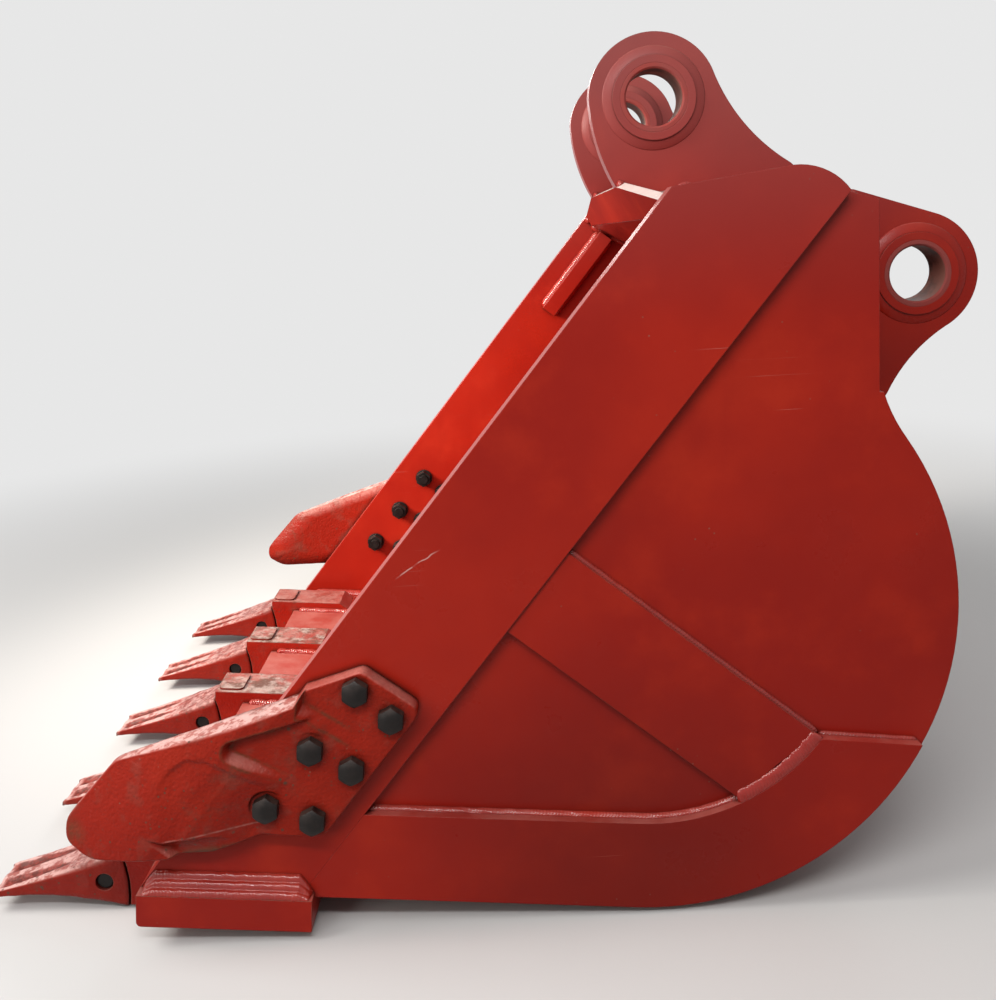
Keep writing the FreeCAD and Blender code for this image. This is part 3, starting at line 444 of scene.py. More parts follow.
def skin(name, grid, material, chart=None, charted="along", smooth=True, joined=False):
    """A closed skin over a grid of points: rows are rings round the piece, joined one to the
    next, and each end ring is closed by a fan to its middle, or the last row is the first
    again and both are joined. chart gives each point's UV."""
    if joined:
        grid, chart = grid[:-1], chart[:-1]
    rows, around = grid.shape[:2]
    ends = np.stack((grid[0].mean(axis=0), grid[-1].mean(axis=0)))[:0 if joined else 2]
    places = np.concatenate((grid.reshape(-1, 3), ends))
    row = np.arange(rows if joined else rows - 1)[:, None] * around
    onward = (row + around) % (rows * around)
    here = np.arange(around)[None, :]
    there = (here + 1) % around
    quads = np.stack((row + here, row + there, onward + there, onward + here), axis=-1).reshape(-1, 4)
    ring = np.arange(around)
    base = (rows - 1) * around
    caps = np.concatenate((np.stack((np.full(around, base + around), (ring + 1) % around, ring), axis=-1),
                           np.stack((np.full(around, base + around + 1), base + ring, base + (ring + 1) % around), axis=-1)))
    caps = caps[:0] if joined else caps
    from_middle = places - places.mean(axis=0)
    volume = sum(np.einsum("ij,ij->", from_middle[face[:, a]], np.cross(from_middle[face[:, b]], from_middle[face[:, c]]))
                 for face, a, b, c in ((quads, 0, 1, 2), (quads, 0, 2, 3), (caps, 0, 1, 2)))
    if volume < 0:
        quads, caps = quads[:, ::-1], caps[:, ::-1]
    mesh = bpy.data.meshes.new(name)
    mesh.from_pydata(places.tolist(), [], quads.tolist() + caps.tolist())
    mesh.polygons.foreach_set("use_smooth", np.full(len(mesh.polygons), smooth))
    if chart is not None:
        uv = np.concatenate((chart.reshape(-1, 2), chart[0].mean(axis=0)[None], chart[-1].mean(axis=0)[None]))[:len(places)]
        corner = np.zeros(len(mesh.loops), np.int32)
        mesh.loops.foreach_get("vertex_index", corner)
        mesh.uv_layers.new(name=charted).uv.foreach_set("vector", uv[corner].ravel())
    mesh.materials.append(material)
    mesh.validate()
    piece = bpy.data.objects.new(name, mesh)
    bpy.context.scene.collection.objects.link(piece)
    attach(piece, "bucket")
    return piece


def waver(distance, length, seed):
    """Slow unevenness from -1 to 1 along a bead: five sine waves of chance length and start."""
    chance = np.random.default_rng(seed)
    pace = 2 * math.pi / (length * chance.uniform(0.5, 1.8, 5))
    start = chance.uniform(0, 2 * math.pi, 5)
    return np.sin(distance[..., None] * pace + start).mean(axis=-1)


def resampled(path, step):
    """The rows of a path at even steps along its first three columns, with the distance run."""
    run = np.concatenate(([0.0], np.cumsum(np.linalg.norm(np.diff(path[:, :3], axis=0), axis=1))))
    count = max(int(run[-1] / step) + 1, 4)
    distance = np.linspace(0.0, run[-1], count)
    return np.stack([np.interp(distance, run, path[:, axis]) for axis in range(path.shape[1])], axis=-1), distance


def bead(name, path, first_way, second_way, first_leg, second_leg=None, passes=1, step=0.006, seed=1,
         swell=0.20, blunt=0.0, rough=1.0, finish=None):
    """A fillet bead in the corner between two plates. Its section is a chord from one plate to
    the other, bulged by a half sine for each pass. The ends run out to nothing, or slope back
    over the blunt distance, and a bead that meets its own start has none."""
    second_leg = second_leg or first_leg
    path = np.asarray(path, float)
    ways = [np.broadcast_to(np.asarray(way, float), path.shape) for way in (first_way, second_way)]
    whole, distance = resampled(np.concatenate((path, *ways), axis=1), step)
    root, first, second = whole[:, :3], whole[:, 3:6], whole[:, 6:]
    first = first / np.linalg.norm(first, axis=1, keepdims=True)
    second = second / np.linalg.norm(second, axis=1, keepdims=True)
    share = np.linspace(0.0, 1.0, 8 * passes + 1)
    uneven = 0.09 * waver(distance, 0.07, seed)[:, None] + 0.05 * waver(distance, 0.015, seed + 7)[:, None]
    uneven = 1.0 + rough * uneven
    toe = 1.0 + rough * 0.10 * waver(distance, 0.024, seed + 3)[:, None]
    from_end = np.minimum(distance, distance[-1] - distance)[:, None]
    joined = np.allclose(path[0], path[-1])
    if joined:
        low = high = np.ones_like(from_end)
    elif blunt:
        low, high = np.clip(from_end / 0.004, 0.05, 1.0), np.clip(from_end / blunt, 0.02, 1.0) ** 0.7
    else:
        low = high = np.sqrt(np.clip(from_end / (0.8 * first_leg), 0.02, 1.0))
    bulge = np.abs(np.sin(share * math.pi * passes)) ** 0.8 * swell * (first_leg + second_leg) / 2 / passes ** 0.7
    drift = waver(distance[:, None] + share * 0.05, 0.05, seed + 11) * 0.0005 * passes * rough
    if not joined:
        drift = drift + waver(distance[:, None] + np.round(share * passes) * 0.37, 0.013, seed + 13) * 0.00022 * passes
    outward = (first + second) / np.linalg.norm(first + second, axis=1, keepdims=True)
    a = first_leg * (1 - share) * uneven * low
    b = second_leg * share * toe * high
    lift = (bulge + drift * (share * (1 - share) * 4)) * high
    crown = root[:, None] + a[..., None] * first[:, None] + b[..., None] * second[:, None]
    crown = crown + lift[..., None] * outward[:, None]
    sunk = 0.0012
    low_b = root + second * second_leg * toe * high - first * sunk
    low_a = root + first * first_leg * uneven * low - second * sunk
    deep = root - (first + second) * sunk
    grid = np.concatenate((crown, low_b[:, None], deep[:, None], low_a[:, None]), axis=1)
    across = np.linspace(0.0, 1.0, grid.shape[1])
    chart = np.stack(np.broadcast_arrays(distance[:, None], across[None, :]), axis=-1)
    return skin(name, stand(grid), finish or weld_finish, chart, joined=joined)


def flat(places, y):
    """Places of the side view, as x and z, put at a distance across the bucket."""
    places = np.asarray(places, float).reshape(-1, 2)
    return np.stack((places[:, 0], np.full(len(places), y), places[:, 1]), axis=-1)


def arc(centre, radius, start, end, step=1.5):
    """Places on a circle of the side view, in degrees from +X towards +Z."""
    turn = np.radians(np.linspace(start, end, max(int(abs(end - start) / step), 2) + 1))
    return centre + radius * np.stack((np.cos(turn), np.sin(turn)), axis=-1)


def way(x, z):
    """A direction of the side view as one of three axes."""
    return np.array((x, 0.0, z)) / math.hypot(x, z)


# Heel plate and strip: the plate's inner edge starts on the floor line and bends up round the
# heel, and the strip butts against it. One 9 mm pass along each edge.
plate_band_outer = heel_radius - 0.010
plate_band_inner = plate_band_outer - 0.136
bar_back = bar_top + behind_bar * bar_width
plate_top_start = bar_back + down_bar * ((heel_centre[1] - plate_band_inner - bar_back[1]) / down_bar[1])


def meets_round(start, direction, radius):
    """Where a line last meets a circle round the heel's centre."""
    away = heel_centre - start
    abreast = away @ direction
    return start + direction * (abreast + math.sqrt(radius ** 2 + abreast ** 2 - away @ away))


strip_top = bar_back + down_bar * 0.508
strip_low = strip_top + down_bar * 0.149
strip_top_end = meets_round(strip_top, behind_bar, plate_band_inner)
strip_low_end = meets_round(strip_low, behind_bar, plate_band_inner)
corner_turn = math.degrees(math.atan2(*(strip_top_end - heel_centre)[::-1]))
low_turn = math.degrees(math.atan2(*(strip_low_end - heel_centre)[::-1]))
round_edge = arc(heel_centre, plate_band_inner, -90, corner_turn)
inner_edge = np.concatenate(([plate_top_start], round_edge))
inner_way = np.concatenate(([[0.0, 1.0]], (heel_centre - round_edge) / plate_band_inner))
strip_round = arc(heel_centre, plate_band_inner, low_turn - 1.0, corner_turn + 0.6)
strip_way = (heel_centre - strip_round) / plate_band_inner
end_edge = np.stack((strip_top_end, arc(heel_centre, plate_band_outer, -23, -22)[0]))
end_way = np.array((end_edge[1] - end_edge[0])[::-1] * (-1, 1))
outer_edge = arc(heel_centre, plate_band_outer, -90, -23)
outer_way = (outer_edge - heel_centre) / plate_band_outer
for hand, side in (("right", -1.0), ("left", 1.0)):
    out = np.array((0.0, side, 0.0))
    bead("weld_heel_inner_" + hand, flat(inner_edge, side * side_outer), out, flat(inner_way, 0.0),
         0.0065, 0.0055, step=0.004, seed=11)
    bead("weld_heel_end_" + hand, flat(end_edge, side * side_outer), out, flat([end_way] * 2, 0.0), 0.004, seed=12)
    bead("weld_heel_outer_" + hand, flat(outer_edge, side * side_outer), out, flat(outer_way, 0.0),
         0.008, 0.007, seed=13)
    bead("weld_strip_top_" + hand, flat([strip_top, strip_top_end], side * side_outer), out,
         way(*-down_bar), 0.0055, 0.0055, seed=14)
    bead("weld_strip_low_" + hand, flat([strip_low, strip_low_end], side * side_outer), out,
         way(*down_bar), 0.004, 0.004, seed=15)
    bead("weld_strip_end_" + hand, flat(strip_round, side * (side_outer + 0.0148)), out, flat(strip_way, 0.0),
         0.0046, 0.0175, step=0.004, seed=16)

# Bars to lip: the bar's foot stands on the lip, with three heavy passes outside and one inside,
# and a flat pass joins the lip to the rolled floor.
heavy_finish = enamelled("enamelled_heavy_weld", edge=0.0006, gloss=0.12, chips=0.2, dust=0.2, ripples=0.00022,
                         corners=0.5, shine=0.55)
for hand, side in (("right", -1.0), ("left", 1.0)):
    heavy = bead("weld_lip_end_" + hand,
                 flat([(lip_front + 0.004, floor_top), (lip_back - 0.002, floor_top)], side * bar_outer),
                 (0.0, side, 0.0), (0.0, 0.0, 1.0), 0.0216, 0.029, passes=3, step=0.0020, seed=21,
                 swell=0.24, blunt=0.020, rough=0.3, finish=heavy_finish)
    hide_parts("lip_weld_" + hand)
    bead("weld_bar_foot_" + hand,
         flat([(lip_front + 0.03, floor_top), (lip_back - 0.01, floor_top)], side * side_inner),
         (0.0, -side, 0.0), (0.0, 0.0, 1.0), 0.013, seed=22)
floor_seam = np.array([(lip_back, -side_inner, floor_top), (lip_back, side_inner, floor_top)])
bead("weld_floor_seam", floor_seam, (1.0, 0.0, 0.04), (-1.0, 0.0, 0.04), 0.012, seed=23)
under_seam = floor_seam.copy()
under_seam[:, 2] = heel_centre[1] - heel_radius
under_seam[:, 1] *= 1.02
bead("weld_lip_under", under_seam, (1.0, 0.0, 0.0), (0.0, 0.0, -1.0), 0.022, 0.024, passes=2, seed=24)

# Bowl: the wrapper is welded to both sides all the way round inside, and its back edge and
# the roof close the torque tube.
inside_round = arc(heel_centre, heel_radius - wrapper_wall, -90, throat_turn)
bowl_edge = np.concatenate(([[lip_back + 0.01, floor_top]], inside_round, [throat_top - (0.019, 0.004)]))
bowl_way = np.concatenate(([[0.0, 1.0]], (heel_centre - inside_round) / (heel_radius - wrapper_wall), [[-1.0, -0.2]]))
outside_round = arc(heel_centre, heel_radius, -90, throat_turn - 2)
for hand, side in (("right", -1.0), ("left", 1.0)):
    bead("weld_bowl_" + hand, flat(bowl_edge, side * side_inner), (0.0, -side, 0.0), flat(bowl_way, 0.0),
         0.012, seed=31)

gusset_start = bar_top + behind_bar * 0.052 + down_bar * 0.032
gusset_end = gusset_start + down_bar * 0.250
for hand, side in (("right", -1.0), ("left", 1.0)):
    for edge, off in (("front", 0.0), ("back", 0.036)):
        ends = np.stack((gusset_start, gusset_end)) + behind_bar * off
        bead("weld_gusset_" + edge + "_" + hand, flat(ends, side * side_inner), (0.0, -side, 0.0),
             way(*(behind_bar if off else -behind_bar)), 0.011, seed=32)

# Ears: each stands on the torque tube and runs down the back, welded on both faces, and each
# boss has a fillet round it on both faces of its ear.
down_tube = (throat_top - (0.006, 0.0)) - tube_back
down_tube = down_tube / np.linalg.norm(down_tube)
tube_foot = tube_back + down_tube * ((throat_top[1] - tube_back[1]) / down_tube[1])
toe = tube_front + (0.003, 0.0)
crest_back = tube_crest + into_front * 0.017
ear_foot = arc(heel_centre, heel_radius, throat_turn - 1.0, 24.6)
for hand, side in (("right", -1.0), ("left", 1.0)):
    for face, across, out in (("outer", 0.252, side), ("inner", 0.212, -side)):
        top_line = flat([toe, tube_back - (0.004, 0.0)], side * across)
        bead("weld_ear_top_" + face + "_" + hand, top_line, (0.0, out, 0.0), (0.013, 0.0, 1.0), 0.014, seed=41)
        crest_line = flat([tube_crest + into_front * 0.001, crest_back], side * across)
        bead("weld_ear_toe_" + face + "_" + hand, crest_line, (0.0, out, 0.0), way(*-down_front),
             0.011 if face == "outer" else 0.016, 0.010, step=0.002, seed=45)
        back_line = flat([tube_back + (0.0, -0.006), tube_foot + (0.0, 0.004)], side * across)
        bead("weld_ear_back_" + face + "_" + hand, back_line, (0.0, out, 0.0), way(1.0, 0.08), 0.014, seed=42)
        ways_out = flat((ear_foot - heel_centre) / heel_radius, 0.0)
        bead("weld_ear_heel_" + face + "_" + hand, flat(ear_foot, side * across), (0.0, out, 0.0), ways_out,
             0.014, seed=43)

ring_finish = enamelled("enamelled_ring_weld", edge=0.0006, gloss=0.28, chips=0.2, dust=0.55)
boss_places = {"stick": np.array((0.0, 0.0)), "link": np.array((0.489, -0.294))}
for pin, centre in boss_places.items():
    for hand, side in (("right", -1.0), ("left", 1.0)):
        circle = arc(centre, 0.074, 200, -160, 4.0)
        ring_way = flat((circle - centre) / 0.074, 0.0)
        for face, across, out in (("outer", 0.252, side), ("inner", 0.212, -side)):
            ring = bead("weld_boss_" + pin + "_" + face + "_" + hand, flat(circle, side * across),
                        (0.0, out, 0.0), ring_way, 0.0065 if face == "outer" else 0.012, 0.0175, step=0.0035,
                        seed=44, rough=0.0, swell=0.06, finish=ring_finish)
            if face == "outer":
                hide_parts(pin + "_boss_welds_" + hand)

# Torque tube: its plates are welded to the bars and side plates at both ends, and to each other
# along their length.
roof_centre = np.array((-0.0048, -0.5360))
roof_round = arc(roof_centre, 0.282, 65, 22, 3.0)
roof_under = np.concatenate(([tube_crest + down_front * 0.0674], roof_round))
roof_way = np.concatenate(([[-0.4226, -0.9063]], (roof_centre - roof_round) / 0.282))
bar_meets = tube_crest + down_front * 0.0403
roof_meets = tube_crest + down_front * 0.062
for hand, side in (("right", -1.0), ("left", 1.0)):
    bead("weld_tube_end_" + hand,
         flat([tube_front + (0.012, 0.0), tube_back - (0.02, 0.0)], side * side_inner),
         (0.0, -side, 0.0), (0.013, 0.0, 1.0), 0.012, seed=51)
    bead("weld_front_end_" + hand, flat([bar_meets, roof_meets], side * side_inner),
         (0.0, -side, 0.0), way(*-into_front), 0.010, seed=54)
    bead("weld_roof_end_" + hand, flat(roof_under, side * side_inner), (0.0, -side, 0.0), flat(roof_way, 0.0),
         0.011, seed=55)
back_seam = np.array([(*flat([tube_back], 0.0)[0],)] * 2)
back_seam[:, 1] = (-side_inner, side_inner)
bead("weld_tube_back", back_seam - (0.004, 0.0, 0.0), (-1.0, 0.0, 0.05), (1.0, 0.0, -0.6), 0.010, seed=52)
throat_seam = flat([tube_foot, tube_foot], 0.0)
throat_seam[:, 1] = (-side_inner, side_inner)
bead("weld_throat", throat_seam, (0.0, 0.0, 1.0), (1.0, 0.0, 0.0), 0.007, seed=53)

# Side cutters: steel castings bolted over the foot of each side bar. The flange is thin behind,
# the body thick along the bar's leading edge, and the blade thins towards its nose. The caster
# left two pockets, a shallow dish in the blade and a scoop along its lower edge.
cutter_corners = np.array([(0.2392, 0.317), (0.2502, 0.334), (0.3352, 0.366), (0.4233, 0.3091), (0.2825, 0.1076),
                           (0.192, 0.1085), (0.118, 0.0795), (-0.066, 0.064), (-0.1058, 0.084), (-0.1078, 0.112),
                           (-0.0938, 0.132), (-0.0318, 0.210)])
cutter_rounding = np.array([0.004, 0.005, 0.012, 0.018, 0.030, 0.020, 0.030, 0.060, 0.034, 0.030, 0.050, 0.050])
cutter_flange = 0.030
bolt_setback = {"front": 0.074, "rear": 0.140}
bolt_heights = {"front": 0.2397 + 0.112 * np.arange(3), "rear": 0.2657 + 0.098 * np.arange(3)}
bolt_spots = np.concatenate([behind_bar * bolt_setback[row] - down_bar * bolt_heights[row][:, None]
                             for row in ("front", "rear")])
# The cutters' enamel is darkened by painted shade.
cast_finish = enamelled("enamelled_casting", edge=0.003, gloss=0.32, cast=1.0, chips=0.5, dust=0.9,
                        grime=0.75, wear=0.06, marks=(old_soil, 30.0), shine=0.10, shade=0.36)


def rounded_outline(corners, radii, count):
    """Even steps round a closed outline whose corners are arcs tangent to both their sides."""
    places = []
    for here, before, after, radius in zip(corners, np.roll(corners, 1, 0), np.roll(corners, -1, 0), radii):
        back = (before - here) / np.linalg.norm(before - here)
        on = (after - here) / np.linalg.norm(after - here)
        half = math.acos(np.clip(back @ on, -1, 1)) / 2
        reach = min(radius / math.tan(half), 0.45 * np.linalg.norm(before - here), 0.45 * np.linalg.norm(after - here))
        share = np.linspace(0, 1, 9)[:, None]
        places.append((1 - share) ** 2 * (here + back * reach) + 2 * share * (1 - share) * here
                      + share ** 2 * (here + on * reach))
    path = np.concatenate(places + [places[0][:1]])
    run = np.concatenate(([0.0], np.cumsum(np.linalg.norm(np.diff(path, axis=0), axis=1))))
    distance = np.linspace(0, run[-1], count, endpoint=False)
    return np.stack([np.interp(distance, run, path[:, axis]) for axis in (0, 1)], axis=-1)


def eased(value, low, high):
    """The share of the way from low to high, with level ends."""
    share = np.clip((value - low) / (high - low), 0.0, 1.0)
    return share * share * (3 - 2 * share)


def lumps(points, size, seed):
    """The unevenness of a sand casting, from -1 to 1: eight sine waves in chance directions."""
    chance = np.random.default_rng(seed)
    course = chance.normal(size=(points.shape[-1], 8))
    course *= 2 * math.pi / size / np.linalg.norm(course, axis=0)
    return np.sin(points @ course + chance.uniform(0, 2 * math.pi, 8)).mean(axis=-1) * 1.6


def cutter_height(place):
    """How far the casting stands off the bar, over a place given from the bar's foot. It steps
    through flange, ramp, body and bowed blade, and the hollows are each eased down into it.
    Also gives how rubbed and how soiled each place is; the soiled share also holds painted shade along the creases of
    the pocket and the notch."""
    setback = place @ behind_bar
    thick = np.interp(setback, (-0.160, -0.152, -0.025, 0.004, 0.078, 0.3), (0.010, 0.011, 0.048, 0.048, 0.030, 0.030))
    blade = np.clip((-setback - 0.025) / 0.127, 0, 1)
    thick = thick + 0.020 * blade * (1 - blade)
    thick -= 0.0015 * (eased(setback, -0.045, -0.005) - eased(setback, 0.0, 0.03))

    nose = np.array((0.1532, 0.244))
    off = place - nose
    upper, lower = math.radians(18.0), math.radians(-24.0)
    above = off @ (-math.sin(upper), math.cos(upper)) - 0.019
    below = off @ (math.sin(lower), -math.cos(lower)) - 0.019
    round_end = np.linalg.norm(off, axis=-1) - 0.019
    over_middle = off @ (0.0523, 0.9986)
    edge = np.where(over_middle > 0,
                    np.where(off @ (math.cos(upper), math.sin(upper)) > 0, above, round_end),
                    np.where(off @ (math.cos(lower), math.sin(lower)) > 0, below, round_end))
    wall = 0.0115 - 0.0030 * np.clip(over_middle / 0.015, -1, 1)
    pocket = (1 - eased(edge / wall, -1.0, 0.05)) * (1 - eased(off[..., 0], 0.090, 0.135))
    thick = thick + (np.minimum(thick, cutter_flange) - thick) * pocket
    # Painted shade: dark lines along the pocket's rim and foot, carried as soil.
    crease_shade = (np.exp(-(edge / 0.0021) ** 2) + np.exp(-((edge + wall) / 0.0026) ** 2)) * (1 - eased(off[..., 0], 0.050, 0.085))

    corner = np.array((0.2420, 0.3040))
    off = place - corner
    slope = math.radians(30.0)
    right = off @ (0.995, -0.101) + 0.001
    over = off @ (math.sin(slope), math.cos(slope)) + 0.0066
    notch = np.minimum(eased(right, 0.0, 0.008), eased(over, 0.0, 0.022)) * (1 - eased(off[..., 0], 0.085, 0.115))
    thick = thick + (np.minimum(thick, cutter_flange - 0.003) - thick) * notch
    notch_edge = np.minimum(right / 0.008, over / 0.022)
    # Painted shade along both edges of the notch.
    crease_shade += (np.exp(-(notch_edge / 0.12) ** 2) + np.exp(-((notch_edge - 1) / 0.12) ** 2)) * (
        (off[..., 0] > -0.01) & (right > -0.004)) * (1 - eased(off[..., 0], 0.060, 0.085))

    ridge = np.interp(place[..., 0], (0.020, 0.040, 0.058, 0.081, 0.109, 0.135, 0.184, 0.237),
                      (0.160, 0.190, 0.213, 0.231, 0.2335, 0.222, 0.199, 0.182))
    under = eased(ridge - place[..., 1], -0.001, 0.010) * (1 - eased(ridge - place[..., 1], 0.06, 0.13))
    sides = eased(place[..., 0], 0.030, 0.070) * (1 - eased(place[..., 0], 0.17, 0.22))
    thick = thick - 0.0036 * under * sides

    lip = np.interp(place[..., 0], (-0.005, 0.012, 0.030, 0.047, 0.122, 0.197, 0.230),
                    (0.117, 0.112, 0.105, 0.1015, 0.1166, 0.1297, 0.134))
    fall = lip - place[..., 1]
    level = 0.065 - np.sqrt(np.clip(0.034 ** 2 - (fall - 0.0294) ** 2, 0, None))
    level = np.where(fall < 0.0294, level, 0.031)
    inside = eased((place - (0.007, 0.110)) @ (0.551, 0.835), 0.0, 0.011) * eased(fall, -0.0005, 0.002)
    thick = thick - np.clip(thick - level, 0, None) * inside
    in_reach = eased(place[..., 0], 0.040, 0.060) * (1 - eased(place[..., 0], 0.185, 0.200))
    rubbed = 0.9 * np.exp(-((fall + 0.0005) / 0.0011) ** 2) * in_reach
    soiled = eased(fall, 0.020, 0.034) * in_reach * (1 - eased(place[..., 0], 0.150, 0.175))

    gap = np.linalg.norm(place[..., None, :] - bolt_spots, axis=-1).min(axis=-1)
    spot = 1 - eased(gap, 0.0235, 0.0265)
    thick = thick + (np.minimum(thick, cutter_flange) - thick) * spot
    # The painted crease shade joins the soil.
    soiled = np.maximum(soiled, np.clip(0.75 * crease_shade, 0, 0.9))
    soiled = np.maximum(soiled, 0.7 * (1 - eased(np.linalg.norm(place - (-0.095, 0.095), axis=-1), 0.006, 0.030)))
    return thick, np.stack((rubbed, soiled), axis=-1)


def side_cutter(hand, side):
    """The casting as rings: from the middle of its face out to the edge, over a rounded edge,
    down its wall and back to the middle behind. Wall and face carry the sand's unevenness."""
    outline = rounded_outline(cutter_corners, cutter_rounding, 520)
    middle = np.array((0.165, 0.190))
    length = np.linalg.norm(outline - middle, axis=1)[:, None]
    edge_round = 0.0045
    inset = edge_round * (1 - np.cos(np.linspace(math.pi / 2, 0.0, 6)))[None, :]
    share = np.linspace(0.012, 1.0, 92)[None, :] ** 0.92
    spread = np.concatenate((share * (1 - edge_round / length), 1 - inset[:, 1:] / length), axis=1)
    place = middle + (outline - middle)[:, None] * spread[..., None]
    lie = np.concatenate((np.zeros((1, share.shape[1])), edge_round * (1 - np.sin(np.linspace(math.pi / 2, 0, 6)))[None, 1:]), axis=1)
    level, chart = cutter_height(place)
    face_inset = np.clip((1 - spread) * length, 0, None)
    settled = np.where(np.arange(spread.shape[1])[None, :] < share.shape[1], level, level[:, share.shape[1] - 1][:, None])
    height = settled - lie
    height += 0.00045 * lumps(place, 0.035, 3) * eased(face_inset, 0.0, 0.004) + 0.00018 * lumps(place, 0.009, 4)
    face = np.concatenate((place[..., :1], height[..., None], place[..., 1:]), axis=-1)
    wall_height = height[:, -1:] * np.array((0.72, 0.45, 0.2, 0.0))[None, :]
    wobble = 1 + 0.0004 * lumps(np.concatenate((outline, outline), axis=1), 0.02, 5)[:, None] / length
    rim = middle + (outline - middle) * wobble
    wall = np.stack((np.broadcast_to(rim[:, :1], wall_height.shape), wall_height,
                     np.broadcast_to(rim[:, 1:], wall_height.shape)), axis=-1)
    back = np.stack([np.stack((rim_part[:, 0], np.zeros(len(rim_part)), rim_part[:, 1]), axis=-1)
                     for rim_part in (middle + (rim - middle) * part for part in (0.7, 0.35, 0.05))], axis=1)
    grid = np.concatenate((face, wall, back), axis=1).transpose(1, 0, 2)
    grid = grid * (1.0, side, 1.0) + (bar_foot[0], side * bar_outer, bar_foot[1])
    edge_way = np.roll(outline, -1, 0) - np.roll(outline, 1, 0)
    edge_way = edge_way / np.linalg.norm(edge_way, axis=1, keepdims=True)
    facing_up = np.abs(edge_way[:, 0]) * np.sign(outline[:, 1] - middle[1])
    facing_up = eased(facing_up, 0.80, 0.91) * (outline[:, 0] < 0.25)
    plain = np.zeros((wall.shape[1] + back.shape[1], len(outline), 2))
    plain[:wall.shape[1], :, 0] = facing_up
    chart[:, -5:, 0] = np.maximum(chart[:, -5:, 0], facing_up[:, None] * np.linspace(0.2, 1.0, 5))
    chart = np.concatenate((chart.transpose(1, 0, 2), plain), axis=0)
    piece = skin("side_cutter_casting_" + hand, stand(grid), cast_finish, chart, "marks")
    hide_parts("side_cutter_" + hand)
    return piece


for hand, side in (("right", -1.0), ("left", 1.0)):
    side_cutter(hand, side)

# Tooth tips: steel castings that slip over the adapters' noses. Sand has left them rough, the
# back carries two flutes that run out from the edge, and shipping has rubbed the paint of the
# backs to a dry pink. The pin goes in through the hole in the side.
tooth_middles = np.linspace(-1, 1, 5) * (side_inner - 0.0835)
tip_heel = np.array((lip_front - 0.049, lip_under - 0.044))
tip_crest = tip_heel + (-0.014, 0.098)
tip_low_edge = tip_heel + (-0.226 + 0.0055, 0.005)
tip_high_edge = tip_low_edge + (0.0, 0.011)
pin_place = tip_heel + (-0.037, 0.046)
pin_hole = 0.0144


def bowed(first, last, bow, share):
    """A curve between two places of the side view that stands off its chord by the bow."""
    chord = last - first
    off = np.array((-chord[1], chord[0])) / np.linalg.norm(chord)
    return first + chord * share[..., None] + off * (4 * bow * share * (1 - share))[..., None]


def tip_place(length, rise):
    """A place in the tip's side view: length runs from rear to edge, rise from belly to back.
    The four bowed sides are blended as on a patch whose edges are given."""
    rear = bowed(tip_heel, tip_crest, -0.0065, rise)
    front = bowed(tip_low_edge, tip_high_edge, 0.0045, rise)
    belly = bowed(tip_heel, tip_low_edge, -0.012, length)
    back = bowed(tip_crest, tip_high_edge, 0.003, length)
    length, rise = length[..., None], rise[..., None]
    corners = ((1 - length) * ((1 - rise) * tip_heel + rise * tip_crest)
               + length * ((1 - rise) * tip_low_edge + rise * tip_high_edge))
    return (1 - length) * rear + length * front + (1 - rise) * belly + rise * back - corners


def nose_ring(station, clearance, ring):
    """The nose's rounded square section at a station ahead of the adapter's shoulder."""
    share = station / 0.112
    high = 0.035 * (1 - 0.54 * share) + clearance
    wide = 0.034 * (1 - 0.12 * share) + clearance
    x = np.broadcast_to(tip_heel[0] + 0.004 - station, ring.shape[:-1])
    z = tip_heel[1] + 0.049 - 0.009 * share + ring[..., 1] * high
    return np.stack((x, ring[..., 0] * wide, z), axis=-1)


def squared(turn, power):
    """A ring between a circle and a square, from -1 to 1: a superellipse."""
    cos, sin = np.cos(turn), np.sin(turn)
    size = (np.abs(cos) ** power + np.abs(sin) ** power) ** (-1 / power)
    return np.stack((cos * size, sin * size), axis=-1)


